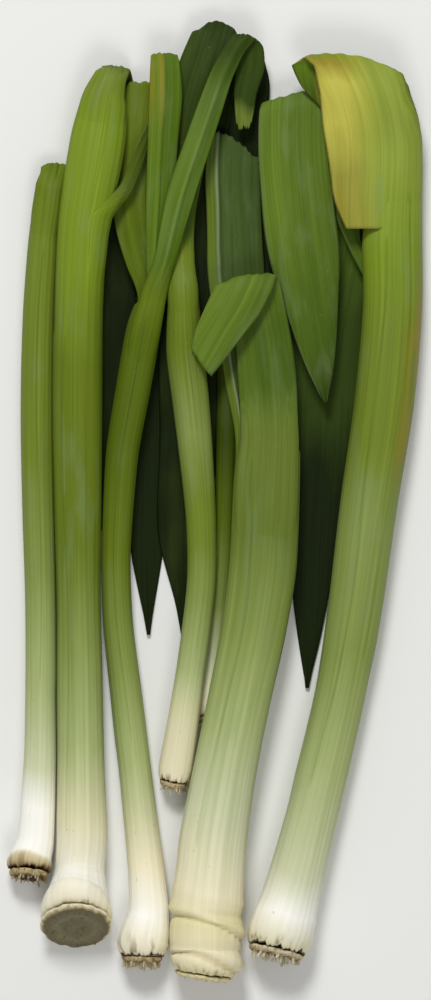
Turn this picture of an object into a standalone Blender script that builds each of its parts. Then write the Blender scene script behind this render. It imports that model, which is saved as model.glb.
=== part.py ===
"""A bunch of green garlic: seven young plants lying side by side with their leaves folded over.

The bunch lies on z = 0. The trimmed root ends point to -Y and the folded leaves to +Y.
Sizes in the tables are millimetres; the model itself is in metres, +Z up.
"""
import math
import random

import bmesh
import bpy
import numpy as np
from mathutils import Matrix, Vector

MM = 0.001
# The middle of the bunch in the tables, which the model puts at its origin.
MID_X = -0.24
MID_Y = 0.2

STEM_SIDES = 16
LEAF_THICKNESS = 0.7
LEAF_STRIPS = 4
TURN_PER_STEP = 26.0
SHARP_ANGLE = 50.0
SURFACE_GAP = 0.12

# Stems, from the root end up: x, y, clearance under the stem, width, height.
# A clearance just below zero leaves a narrow flat where the stem lies on the surface.
STEMS = {
    "stem_1": [
        (-41.9, -82.6, 0.0, 9.8, 9.8),
        (-41.8, -81.0, -0.2, 10.4, 10.4),
        (-41.2, -78.6, -0.2, 9.4, 9.4),
        (-40.4, -74.0, -0.2, 8.6, 8.6),
        (-39.8, -67.0, -0.2, 7.9, 7.9),
        (-39.4, -58.0, -0.2, 7.4, 7.4),
        (-39.3, -40.0, -0.2, 6.9, 6.9),
        (-39.4, -22.0, -0.2, 6.8, 6.8),
        (-39.9, 0.5, -0.2, 7.1, 7.1),
        (-40.1, 23.0, -0.2, 7.3, 7.3),
        (-39.6, 45.5, 0.0, 7.0, 7.0),
        (-38.5, 61.0, 0.8, 6.6, 6.6),
        (-37.2, 71.3, 1.8, 6.0, 5.6),
    ],
    "stem_2": [
        (-31.3, -94.3, 0.1, 15.4, 15.4),
        (-31.3, -92.2, -0.2, 16.0, 16.0),
        (-31.0, -90.0, -0.2, 14.2, 14.2),
        (-30.8, -87.0, -0.2, 12.8, 12.8),
        (-30.6, -83.5, -0.2, 11.2, 11.2),
        (-30.0, -76.0, -0.2, 11.2, 11.2),
        (-30.1, -58.0, -0.2, 10.4, 10.4),
        (-30.4, -40.0, 0.2, 10.2, 10.2),
        (-30.7, -22.0, 0.4, 9.7, 9.7),
        (-30.8, 0.5, 0.6, 10.4, 10.4),
        (-30.9, 23.0, 1.2, 11.0, 11.0),
        (-30.6, 45.5, 1.7, 11.0, 11.0),
        (-29.6, 63.5, 1.8, 11.4, 11.2),
        (-27.4, 77.0, 2.4, 12.0, 9.6),
        (-26.2, 84.0, 2.7, 11.6, 8.6),
        (-25.0, 91.0, 3.0, 9.4, 7.6),
        (-23.6, 95.4, 3.3, 7.2, 6.6),
    ],
    "stem_3": [
        (-16.4, -101.9, 0.1, 10.6, 10.6),
        (-16.3, -99.5, -0.2, 11.8, 11.8),
        (-15.0, -93.0, -0.2, 9.6, 9.6),
        (-15.3, -85.0, -0.2, 8.4, 8.4),
        (-17.3, -67.0, -0.2, 7.4, 7.4),
        (-19.8, -44.6, -0.2, 7.0, 7.0),
        (-21.8, -26.6, 0.2, 6.6, 6.6),
        (-22.2, -13.0, 1.0, 6.4, 6.4),
        (-20.7, 11.7, 2.0, 7.2, 7.2),
        (-18.4, 25.2, 2.3, 7.6, 7.6),
        (-16.0, 38.7, 2.5, 7.6, 7.4),
        (-14.4, 45.5, 2.9, 6.6, 6.4),
    ],
    "stem_4": [
        (-9.2, -62.5, 0.1, 7.2, 7.2),
        (-8.8, -60.0, 0.2, 7.8, 7.8),
        (-7.3, -50.0, 3.2, 7.0, 7.0),
        (-5.2, -35.6, 3.9, 6.4, 6.4),
        (-3.1, -17.6, 3.4, 6.4, 6.4),
        (-3.2, -5.0, 3.0, 6.6, 6.6),
        (-4.5, 11.7, 2.7, 7.4, 7.4),
        (-5.6, 23.0, 2.4, 8.0, 8.0),
        (-6.8, 34.2, 2.4, 8.2, 8.0),
        (-7.2, 45.5, 2.6, 6.8, 7.0),
        (-7.7, 54.0, 3.2, 6.0, 5.4),
    ],
    "stem_5": [
        (-1.3, -48.0, 0.0, 5.2, 5.2),
        (-1.2, -46.0, -0.2, 5.8, 5.8),
        (-0.4, -36.0, -0.2, 4.8, 4.8),
        (0.5, -26.6, -0.2, 4.4, 4.4),
        (1.8, -10.8, -0.2, 4.4, 4.4),
        (2.5, 11.7, -0.2, 4.6, 4.6),
        (2.7, 27.4, -0.2, 4.6, 4.6),
        (2.5, 38.7, 0.0, 4.4, 4.2),
    ],
    "stem_6": [
        (-2.5, -105.8, 0.3, 14.8, 14.8),
        (-2.1, -103.0, -0.2, 16.4, 16.4),
        (-2.0, -101.0, 0.2, 15.4, 15.4),
        (-2.0, -98.5, -0.2, 16.6, 16.6),
        (-2.0, -95.0, -0.2, 16.4, 16.4),
        (-2.0, -93.2, 0.3, 15.4, 15.4),
        (-1.9, -91.0, -0.1, 16.2, 16.2),
        (-1.4, -86.0, 0.2, 15.6, 15.4),
        (-0.2, -76.0, 0.8, 14.8, 13.6),
        (2.5, -60.3, 2.6, 13.8, 11.4),
        (5.6, -44.6, 4.2, 13.8, 9.6),
        (8.8, -28.8, 4.7, 14.4, 8.0),
        (10.8, -15.3, 4.8, 14.8, 7.0),
        (11.9, 5.0, 4.6, 14.4, 5.4),
        (12.4, 14.0, 4.4, 13.6, 4.6),
    ],
    "stem_7": [
        (14.0, -100.4, 0.1, 13.8, 13.8),
        (14.7, -97.4, -0.2, 14.8, 14.8),
        (16.9, -89.5, -0.2, 13.2, 13.2),
        (19.8, -78.3, -0.2, 12.0, 12.0),
        (24.8, -58.1, -0.2, 11.2, 11.2),
        (28.4, -42.3, -0.2, 11.0, 11.0),
        (31.5, -24.3, -0.2, 11.6, 11.6),
        (34.9, 0.5, -0.2, 12.4, 12.4),
        (38.2, 23.0, -0.2, 13.0, 12.6),
        (40.0, 45.5, -0.2, 12.9, 12.0),
        (39.9, 61.2, -0.1, 13.0, 11.4),
        (40.7, 75.6, 0.2, 11.4, 10.6),
    ],
}

# Slope of a slanting root cut (run along Y for each unit of height), and how far up it fades out.
SLANTED_CUTS = {"stem_2": 0.66, "stem_1": 0.45, "stem_3": 0.18, "stem_6": 0.1, "stem_7": 0.2}
SLANT_REACH = 16.0

# Leaves, from the stem out: x, y, z, width, heading, pitch, keel.
# Heading turns the blade's width about Z, pitch lifts its right edge (both degrees), and keel is
# how far the middle stands out of the edges, toward the side that faces up as the leaf leaves the stem.
LEAVES = {
    "leaf_1_a": [
        (-36.9, 72.4, 4.5, 5.2, -8, 0, 0.8),
        (-36.5, 74.6, 4.1, 5.6, -6, 0, 0.3),
        (-36.2, 76.2, 2.6, 6.0, 0, 0, 0.0),
        (-36.0, 74.9, 1.0, 6.0, 6, 0, 0.0),
        (-33.4, 63.0, 0.7, 5.6, 8, 0, 0.2),
        (-32.2, 50.0, 0.7, 4.2, 6, 0, 0.2),
        (-31.6, 38.0, 0.7, 1.6, 4, 0, 0.0),
    ],
    "leaf_2_a": [
        (-23.3, 96.1, 7.0, 7.0, -14, 0, 1.0),
        (-22.8, 98.1, 6.2, 7.6, -12, 0, 0.4),
        (-22.7, 99.1, 4.4, 8.0, -6, 0, 0.0),
        (-22.6, 97.6, 2.4, 8.2, 0, 0, 0.0),
        (-22.0, 88.0, 1.4, 8.4, 2, 0, 0.2),
        (-21.6, 68.0, 0.8, 7.4, 2, 0, 0.2),
        (-21.6, 45.0, 0.7, 8.0, 0, 0, 0.2),
        (-21.6, 20.0, 0.7, 7.4, 0, 0, 0.2),
        (-21.8, 6.0, 0.6, 5.2, 0, 0, 0.1),
        (-22.0, -5.0, 0.6, 1.8, 0, 0, 0.0),
    ],
    "leaf_2_b": [
        (-22.3, 64.8, 8.9, 2.4, -40, 0, 0.4),
        (-20.8, 68.4, 9.1, 3.0, -42, 0, 0.5),
        (-18.6, 74.0, 8.8, 3.4, -40, 0, 0.5),
        (-16.6, 79.6, 8.2, 2.8, -36, 0, 0.3),
    ],
    "leaf_3_a": [
        (-15.5, 47.4, 5.6, 4.2, 6, -4, 0.6),
        (-17.0, 54.0, 5.6, 6.0, 14, -2, 0.8),
        (-19.1, 64.6, 4.9, 7.6, 9, 0, 0.8),
        (-18.8, 74.7, 4.3, 7.0, -2, 2, 0.6),
        (-18.1, 86.0, 3.9, 6.4, -6, 2, 0.5),
        (-17.2, 95.0, 3.8, 5.4, -7, 2, 0.4),
    ],
    "leaf_3_b": [
        (-13.7, 46.6, 8.2, 3.4, 3, 0, 0.6),
        (-13.1, 56.7, 9.6, 5.0, 3, 5, 1.0),
        (-12.5, 68.0, 10.3, 6.4, 1, 5, 1.3),
        (-11.7, 82.0, 10.2, 6.8, 0, 5, 1.3),
        (-11.1, 92.0, 9.6, 7.6, -1, 4, 0.9),
        (-11.2, 98.8, 8.8, 6.8, -1, 0, 0.3),
        (-11.4, 100.8, 7.0, 6.2, -1, 0, 0.0),
        (-11.5, 98.8, 4.9, 5.8, -3, 0, 0.0),
        (-11.4, 90.5, 4.0, 5.2, -3, 0, 0.2),
        (-12.2, 80.0, 3.1, 5.0, -3, 0, 0.2),
        (-13.8, 68.0, 2.2, 4.8, -3, 0, 0.2),
        (-15.0, 45.5, 0.9, 4.6, 0, 0, 0.2),
        (-15.1, 23.0, 0.7, 4.8, 0, 0, 0.2),
        (-15.2, -10.0, 0.7, 4.4, 0, 0, 0.2),
        (-15.0, -30.0, 0.7, 1.6, 0, 0, 0.0),
    ],
    "leaf_3_c": [
        (-12.6, 46.9, 10.1, 3.2, -12, 0, 0.6),
        (-10.6, 57.0, 11.7, 5.0, -12, 0, 0.8),
        (-7.6, 69.4, 12.2, 6.4, -16, 0, 1.0),
        (-4.3, 79.3, 12.0, 6.0, -18, 0, 0.9),
        (-1.0, 88.9, 11.2, 5.6, -19, 0, 0.7),
        (1.6, 96.2, 10.2, 5.2, -22, 0, 0.4),
        (5.0, 102.8, 9.3, 4.6, -24, 0, 0.0),
        (6.8, 104.9, 8.3, 5.0, -12, 0, 0.0),
        (7.9, 102.8, 7.1, 5.6, 2, 0, 0.0),
        (8.0, 98.1, 6.8, 6.2, -6, 0, -0.3),
        (6.8, 92.4, 6.8, 5.2, -12, 0, -0.3),
        (6.6, 84.6, 6.8, 3.8, 4, 0, 0.0),
    ],
    "leaf_4_a": [
        (-7.8, 54.8, 6.0, 5.8, 2, 0, 0.8),
        (-7.9, 64.6, 6.2, 7.0, -2, 0, 0.8),
        (-7.0, 75.8, 6.4, 9.4, -8, 0, 0.9),
        (-5.0, 87.1, 6.6, 11.6, -13, 0, 0.9),
        (-2.2, 97.2, 6.4, 12.4, -18, 0, 0.8),
        (0.4, 105.4, 5.8, 10.8, -18, 0, 0.3),
        (1.3, 108.0, 4.3, 9.2, -15, 0, 0.0),
        (0.9, 106.0, 2.7, 9.0, -14, 0, 0.0),
        (-0.6, 97.2, 2.3, 9.0, -14, 0, 0.0),
        (-3.8, 83.7, 2.0, 9.6, -12, 0, 0.2),
        (-6.2, 63.5, 1.3, 9.4, -6, 0, 0.2),
        (-7.1, 41.0, 0.8, 10.2, -2, 0, 0.2),
        (-6.8, 18.4, 0.8, 10.8, 0, 0, 0.2),
        (-6.9, -8.0, 0.8, 8.8, 0, 0, 0.2),
        (-6.6, -24.0, 0.8, 4.4, 0, 0, 0.1),
        (-6.4, -36.0, 0.8, 1.6, 0, 0, 0.0),
    ],
    "leaf_5_a": [
        (2.5, 39.5, 2.6, 3.8, 0, 0, 0.5),
        (5.6, 53.0, 2.2, 11.4, -5, 0, 0.4),
        (6.8, 70.2, 1.8, 11.0, -6, 0, 0.3),
        (7.4, 86.0, 1.6, 9.0, -5, 0, 0.3),
        (8.6, 95.0, 1.6, 7.0, -5, 0, 0.2),
        (9.0, 100.0, 1.6, 4.6, -4, 0, 0.0),
    ],
    "leaf_6_a": [
        (12.3, 15.1, 7.4, 12.6, 0, 0, 0.5),
        (11.9, 25.2, 7.6, 13.2, 5, 0, 0.8),
        (10.8, 36.5, 7.9, 13.0, 6, 0, 0.8),
        (9.4, 44.3, 8.5, 12.6, 8, 0, 0.4),
        (8.3, 49.6, 9.6, 12.2, 9, 0, 0.0),
        (7.8, 50.9, 11.0, 12.0, 9, 0, 0.0),
        (6.7, 48.7, 12.2, 12.2, -6, 0, 0.0),
        (4.9, 45.0, 12.5, 11.8, -22, 0, -0.4),
        (0.2, 37.2, 12.3, 9.8, -27, 0, -0.5),
        (-3.2, 31.2, 12.0, 7.6, -50, 0, -0.4),
    ],
    "leaf_6_b": [
        (8.6, 15.2, 5.4, 6.8, 5, 0, 0.3),
        (7.2, 27.4, 5.6, 10.0, 4, 0, 0.6),
        (5.6, 41.0, 5.4, 11.6, 3, 0, 0.8),
        (4.7, 52.2, 4.8, 12.6, 1, 0, 1.0),
        (4.3, 63.5, 4.5, 12.8, 0, 0, 1.2),
        (4.0, 73.0, 4.5, 12.6, 0, 0, 1.2),
        (4.3, 81.4, 4.3, 11.8, 0, 0, 0.8),
    ],
    "leaf_7_a": [
        (37.9, 61.4, 11.6, 16.8, 0, 0, 2.0),
        (36.5, 68.0, 11.8, 19.4, 0, 0, 2.0),
        (35.9, 74.7, 11.9, 20.6, 0, 0, 1.8),
        (34.9, 83.7, 12.3, 21.6, 0, 0, 1.6),
        (33.4, 92.7, 12.1, 20.2, -3, 0, 0.8),
        (31.6, 98.6, 11.0, 19.6, -5, 0, 0.0),
        (30.6, 100.2, 9.6, 18.8, -7, 0, 0.0),
        (29.2, 98.2, 8.4, 19.6, -6, 0, 0.0),
        (28.8, 93.6, 8.5, 16.0, -4, 0, 0.0),
        (29.8, 86.0, 8.3, 8.0, 0, 0, 0.0),
        (30.2, 76.0, 7.2, 1.8, 0, 0, 0.0),
    ],
    "leaf_7_b": [
        (31.4, 58.4, 4.4, 3.2, 24, 0, 0.3),
        (29.4, 68.0, 3.6, 7.0, 24, 0, 0.4),
        (24.1, 81.8, 3.6, 12.0, 23, 0, 0.3),
        (19.6, 89.6, 4.2, 14.2, 18, 0, 0.0),
        (18.0, 91.8, 5.8, 14.6, 13, 0, 0.0),
        (17.6, 89.4, 7.2, 15.0, 8, 0, 0.0),
        (17.6, 79.2, 7.3, 16.0, 5, 0, -0.8),
        (18.8, 65.7, 7.1, 16.4, 7, 0, -1.0),
        (20.6, 52.2, 6.9, 15.0, 8, 0, -0.9),
        (22.6, 38.7, 6.6, 10.4, 9, 0, -0.6),
        (23.9, 29.7, 6.4, 5.6, 9, 0, -0.3),
        (24.8, 22.5, 6.2, 1.4, 9, 0, 0.0),
    ],
    "leaf_7_c": [
        (41.8, 77.0, 3.8, 8.6, 4, 0, 0.4),
        (40.6, 86.0, 3.3, 9.4, 12, 0, 0.3),
        (38.6, 93.4, 2.9, 10.0, 12, 0, 0.0),
        (37.9, 95.4, 1.8, 10.0, -1, 0, 0.0),
        (36.7, 93.2, 0.7, 10.4, -14, 0, 0.0),
        (31.8, 79.5, 0.7, 10.8, -12, 0, 0.2),
        (28.6, 58.0, 0.7, 12.4, -7, 0, 0.2),
        (26.2, 34.2, 0.7, 13.2, -6, 0, 0.2),
        (24.5, 11.7, 0.7, 12.6, -4, 0, 0.2),
        (22.4, -14.0, 0.7, 9.0, -4, 0, 0.2),
        (21.2, -32.0, 0.7, 4.6, -2, 0, 0.1),
        (20.8, -42.0, 0.7, 1.6, 0, 0, 0.0),
    ],
}

# How far a torn leaf end runs in and out, and how far its right corner runs ahead of the middle.
TORN_ENDS = {
    "leaf_3_a": (0.5, 0.8),
    "leaf_3_c": (1.2, 0.0),
    "leaf_5_a": (0.8, -0.6),
    "leaf_6_a": (0.4, 0.0),
    "leaf_6_b": (1.0, -3.4),
}

# Root plates: share of the stem's width, thickness, number of root stubs, stub length, colour name.
ROOT_PLATES = {
    "root_plate_1": (0.86, 1.6, 12, 1.4, "corky_root"),
    "root_plate_2": (0.94, 1.2, 10, 0.9, "cut_root"),
    "root_plate_3": (0.86, 1.4, 10, 2.0, "brown_root"),
    "root_plate_4": (0.86, 1.3, 10, 1.8, "brown_root"),
    "root_plate_5": (0.84, 1.2, 8, 1.5, "brown_root"),
    "root_plate_6": (0.80, 1.2, 12, 1.0, "cut_root"),
    "root_plate_7": (0.88, 1.6, 18, 3.0, "brown_root"),
}
ROOT_GAP = 0.35
PLATE_SIDES = 16
PLATE_TAPER = 0.86
STUB_RADIUS = 0.62
STUB_TAPER = 0.62
STUB_SIDES = 5
# Where stubs stand, as shares of the plate's radius taken in turn, and how far they stray from even turns.
STUB_RINGS = (0.80, 0.52, 0.78)
STUB_STRAY = 0.3
# Range of a stub's lean outward, of its share of the full length, and how deep it is sunk in the plate.
STUB_LEAN = (0.15, 0.55)
STUB_LENGTHS = (0.55, 1.0)
STUB_SINK = 0.6
# Share of the lean that a stub keeps where it would lean down onto the surface.
DOWNWARD_SHARE = 0.3

COLOURS = {
    "pale_stem": ((0.45, 0.52, 0.17), 0.42),
    "olive_stem": ((0.20, 0.27, 0.05), 0.45),
    "bright_leaf": ((0.16, 0.32, 0.04), 0.45),
    "dark_leaf": ((0.06, 0.14, 0.03), 0.50),
    "yellow_leaf": ((0.45, 0.47, 0.11), 0.50),
    "corky_root": ((0.24, 0.15, 0.07), 0.85),
    "brown_root": ((0.31, 0.22, 0.12), 0.85),
    "cut_root": ((0.47, 0.42, 0.30), 0.80),
}
STEM_COLOURS = {"stem_5": "olive_stem"}
LEAF_COLOURS = {
    "leaf_1_a": "bright_leaf",
    "leaf_2_b": "bright_leaf",
    "leaf_3_a": "bright_leaf",
    "leaf_3_b": "bright_leaf",
    "leaf_3_c": "bright_leaf",
    "leaf_7_a": "yellow_leaf",
}


def clear_scene():
    """Remove everything that a new Blender file brings."""
    for item in list(bpy.data.objects):
        bpy.data.objects.remove(item, do_unlink=True)


def new_collection(name):
    """A collection under the scene."""
    collection = bpy.data.collections.new(name)
    bpy.context.scene.collection.children.link(collection)
    return collection


def material(name):
    """The Principled material of one colour name, made once."""
    if name in bpy.data.materials:
        return bpy.data.materials[name]
    colour, roughness = COLOURS[name]
    made = bpy.data.materials.new(name)
    made.use_nodes = True
    shader = made.node_tree.nodes["Principled BSDF"]
    shader.inputs["Base Color"].default_value = (*colour, 1.0)
    shader.inputs["Roughness"].default_value = roughness
    shader.inputs["Metallic"].default_value = 0.0
    return made


def add_object(name, mesh_builder, colour, collection):
    """Turn a bmesh in millimetres into a smooth-shaded object in metres."""
    bmesh.ops.transform(
        mesh_builder,
        matrix=Matrix.Scale(MM, 4) @ Matrix.Translation((-MID_X, -MID_Y, 0.0)),
        verts=mesh_builder.verts,
    )
    bmesh.ops.recalc_face_normals(mesh_builder, faces=mesh_builder.faces)
    mesh = bpy.data.meshes.new(name)
    mesh_builder.to_mesh(mesh)
    mesh_builder.free()
    mesh.materials.append(material(colour))
    mesh.shade_smooth()
    mesh.set_sharp_from_angle(angle=math.radians(SHARP_ANGLE))
    made = bpy.data.objects.new(name, mesh)
    collection.objects.link(made)
    return made


def smooth_rows(rows):
    """Carry a smooth curve through hand-placed rows and return its stations.

    Each span is a cubic whose end slopes are the neighbours' slopes, weighted to the shorter
    neighbour and kept no longer than it, so that a tight fold beside a long straight stays tight.
    A span has one step for each TURN_PER_STEP degrees that it turns.
    """
    rows = np.array(rows, dtype=float)
    reach = np.linalg.norm(np.diff(rows[:, :3], axis=0), axis=1)[:, None]
    slope = np.diff(rows, axis=0) / reach
    before, after = reach[:-1], reach[1:]
    middle = (slope[:-1] * after + slope[1:] * before) / (before + after)
    pull = np.vstack([slope[:1] * reach[:1], middle * np.minimum(before, after), slope[-1:] * reach[-1:]])
    stations = []
    for index in range(len(rows) - 1):
        leave, arrive = Vector(pull[index, :3]), Vector(pull[index + 1, :3])
        steps = max(1, math.ceil(math.degrees(leave.angle(arrive)) / TURN_PER_STEP))
        for step in range(steps):
            t = step / steps
            stations.append(
                rows[index] * (2 * t**3 - 3 * t**2 + 1)
                + pull[index] * (t**3 - 2 * t**2 + t)
                + rows[index + 1] * (3 * t**2 - 2 * t**3)
                + pull[index + 1] * (t**3 - t**2)
            )
    stations.append(rows[-1])
    return np.array(stations)


def directions(points):
    """Unit direction of travel at each point of a path."""
    ahead = np.gradient(points, axis=0)
    return ahead / np.linalg.norm(ahead, axis=1)[:, None]


def slant_shift(name, height_above_axis, distance):
    """How far a slanting root cut moves a point along Y, fading with distance up the stem."""
    fade = max(0.0, 1.0 - distance / SLANT_REACH)
    return SLANTED_CUTS.get(name, 0.0) * height_above_axis * fade


def stem_centres(rows):
    """Stem rows as stations: x, y, z of the axis, then half the width and half the height."""
    table = np.array(rows, dtype=float)
    half_width, half_height = table[:, 3] / 2, table[:, 4] / 2
    axis = np.column_stack([table[:, 0], table[:, 1], table[:, 2] + half_height, half_width, half_height])
    return smooth_rows(axis)


def build_stem(name, collection):
    """A capped cylinder whose rings are carried along the stem's path and flattened on the surface."""
    stations = stem_centres(STEMS[name])
    travel = directions(stations[:, :3])
    builder = bmesh.new()
    bmesh.ops.create_cone(builder, cap_ends=True, segments=STEM_SIDES, radius1=1, radius2=1, depth=1)
    upright = [edge for edge in builder.edges if abs(edge.verts[0].co.z - edge.verts[1].co.z) > 0.5]
    bmesh.ops.subdivide_edges(builder, edges=upright, cuts=len(stations) - 2, use_grid_fill=True)
    half_side = math.pi / STEM_SIDES
    for vert in builder.verts:
        station = round((vert.co.z + 0.5) * (len(stations) - 1))
        angle = math.atan2(vert.co.y, vert.co.x) + half_side
        x, y, z, half_width, half_height = stations[station]
        along = Vector(travel[station])
        side = along.cross(Vector((0, 0, 1))).normalized()
        over = side.cross(along)
        rim = side * half_width * math.cos(angle) + over * half_height * math.sin(angle)
        place = Vector((x, y, z)) + rim
        place.y += slant_shift(name, rim.z, abs(y - stations[0][1]))
        place.z = max(place.z, 0.0)
        vert.co = place
    return add_object(name, builder, STEM_COLOURS.get(name, "pale_stem"), collection)


def build_leaf(name, collection):
    """A grid bent along the leaf's path, given its thickness by Solidify."""
    stations = smooth_rows(LEAVES[name])
    travel = directions(stations[:, :3])
    torn, slant = TORN_ENDS.get(name, (0.0, 0.0))
    draw = random.Random(name)
    shares = [2 * number / LEAF_STRIPS - 1 for number in range(LEAF_STRIPS + 1)]
    tears = [torn * draw.uniform(-1.0, 1.0) + slant * share for share in shares]
    builder = bmesh.new()
    bmesh.ops.create_grid(builder, x_segments=LEAF_STRIPS, y_segments=len(stations) - 1, size=1)
    for vert in builder.verts:
        station = round((vert.co.y + 1) / 2 * (len(stations) - 1))
        across_share = vert.co.x
        x, y, z, width, heading, pitch, keel = stations[station]
        turn, tip = math.radians(heading), math.radians(pitch)
        along = Vector(travel[station])
        across = Vector((math.cos(turn) * math.cos(tip), math.sin(turn) * math.cos(tip), math.sin(tip)))
        normal = across.cross(along).normalized()
        place = Vector((x, y, z)) + across * across_share * width / 2
        place += normal * keel * (0.5 - abs(across_share))
        if station == len(stations) - 1:
            place += along * tears[round((across_share + 1) / 2 * LEAF_STRIPS)]
        vert.co = place
    bmesh.ops.triangulate(builder, faces=builder.faces, quad_method="ALTERNATE")
    made = add_object(name, builder, LEAF_COLOURS.get(name, "dark_leaf"), collection)
    wall = made.modifiers.new("blade", "SOLIDIFY")
    wall.thickness = LEAF_THICKNESS * MM
    wall.offset = 0.0
    return made


def stub_matrix(place, pointing):
    """Places a cone primitive, which stands along Z, at a point and turned to a direction."""
    return Matrix.Translation(place) @ pointing.to_track_quat("Z", "Y").to_matrix().to_4x4()


def build_root_plate(name, parts, helpers):
    """A disc that closes the stem's lower end, with trimmed root stubs fused to its face and rim."""
    share, thickness, stubs, stub_length, colour = ROOT_PLATES[name]
    stem = name.replace("root_plate", "stem")
    stations = stem_centres(STEMS[stem])
    axis = Vector(stations[0][:3])
    outward = -Vector(directions(stations[:, :3])[0])
    half_width = stations[0][3] * share
    slope = SLANTED_CUTS.get(stem, 0.0)
    centre = axis + outward * (ROOT_GAP + thickness / 2) * math.hypot(1, slope)
    place = stub_matrix(centre, outward)
    draw = random.Random(name)

    def slanted(point):
        """Lean a point with the slanting cut, and keep it clear of the surface."""
        return Vector((point.x, point.y + slope * (point.z - axis.z), max(point.z, SURFACE_GAP)))

    disc = bmesh.new()
    bmesh.ops.create_cone(
        disc, cap_ends=True, segments=PLATE_SIDES, radius1=half_width, radius2=half_width * PLATE_TAPER,
        depth=thickness, matrix=place,
    )
    for vert in disc.verts:
        vert.co = slanted(vert.co)
    plate = add_object(name, disc, colour, parts)

    stub_group = bpy.data.collections.new(name + "_stubs")
    helpers.children.link(stub_group)
    for number in range(stubs):
        turn = 2 * math.pi * (number + draw.uniform(-STUB_STRAY, STUB_STRAY)) / stubs
        ring = STUB_RINGS[number % len(STUB_RINGS)] * half_width
        radial = place.to_3x3() @ Vector((math.cos(turn), math.sin(turn), 0.0))
        lean = radial * draw.uniform(*STUB_LEAN)
        lean.z *= DOWNWARD_SHARE if radial.z < 0 else 1.0
        pointing = (outward + lean).normalized()
        length = stub_length * draw.uniform(*STUB_LENGTHS) + thickness * STUB_SINK
        root = centre + radial * ring + pointing * (length / 2)
        stub = bmesh.new()
        bmesh.ops.create_cone(
            stub, cap_ends=True, segments=STUB_SIDES, radius1=STUB_RADIUS,
            radius2=STUB_RADIUS * STUB_TAPER, depth=length, matrix=stub_matrix(root, pointing),
        )
        for vert in stub.verts:
            vert.co = slanted(vert.co)
        piece = add_object(f"{name}_stub_{number}", stub, colour, stub_group)
        piece.hide_render = True
        piece.display_type = "WIRE"
    fuse(plate, stub_group)
    return plate


def fuse(body, group):
    """Join a group's objects to a body with one exact Boolean union, apply it and drop the group."""
    union = body.modifiers.new("stubs", "BOOLEAN")
    union.operation = "UNION"
    union.operand_type = "COLLECTION"
    union.collection = group
    union.solver = "EXACT"
    bpy.context.view_layer.update()
    graph = bpy.context.evaluated_depsgraph_get()
    joined = bpy.data.meshes.new_from_object(body.evaluated_get(graph))
    body.modifiers.remove(union)
    body.data = joined
    for piece in list(group.objects):
        bpy.data.objects.remove(piece, do_unlink=True)
    bpy.data.collections.remove(group)


def main():
    """Build the bunch."""
    clear_scene()
    parts = new_collection("green_garlic_bunch")
    helpers = new_collection("helpers")
    for name in STEMS:
        build_stem(name, parts)
    for name in LEAVES:
        build_leaf(name, parts)
    for name in ROOT_PLATES:
        build_root_plate(name, parts, helpers)


main()
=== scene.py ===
"""The finish of a bunch of green garlic, laid over its solids.

Every stem, leaf and root plate is a surface worked out from the same rows as its solid, but finer:
ribs, sheath edges, folds, waved and torn leaf ends, and trimmed roots. The tables are in
millimetres, with the root ends to -Y and the folded leaves to +Y; the meshes are in metres.
"""

import math
import random
from dataclasses import dataclass

import bpy
import numpy as np
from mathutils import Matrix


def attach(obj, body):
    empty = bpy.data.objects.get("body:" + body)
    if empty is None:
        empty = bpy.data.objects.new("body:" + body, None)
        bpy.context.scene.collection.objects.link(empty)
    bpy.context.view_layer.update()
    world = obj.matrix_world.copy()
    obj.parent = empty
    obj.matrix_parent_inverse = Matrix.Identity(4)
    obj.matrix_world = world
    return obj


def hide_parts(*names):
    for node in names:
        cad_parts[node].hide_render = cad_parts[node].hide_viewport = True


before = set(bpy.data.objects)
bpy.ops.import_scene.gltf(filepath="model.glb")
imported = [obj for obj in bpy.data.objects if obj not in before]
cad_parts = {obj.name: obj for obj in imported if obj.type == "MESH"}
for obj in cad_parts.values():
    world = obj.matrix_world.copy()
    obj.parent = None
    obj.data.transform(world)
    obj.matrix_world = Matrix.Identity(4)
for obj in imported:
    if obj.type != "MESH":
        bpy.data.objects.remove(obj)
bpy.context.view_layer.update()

MM = 0.001
UP = np.array([0.0, 0.0, 1.0])
TURN = 2 * math.pi

# The point of the tables that becomes the origin.
MID_X = -0.24
MID_Y = 0.2

# Meshes: ring spacing along stems and leaves, fewest rings between two rows, and points round or across.
STEM_STEP = 1.1
LEAF_STEP = 0.95
MIN_STEPS = 5
STEM_SIDES = 112
LEAF_STRIPS = 30
PLATE_SIDES = 72
ROOT_SIDES = 7

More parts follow.
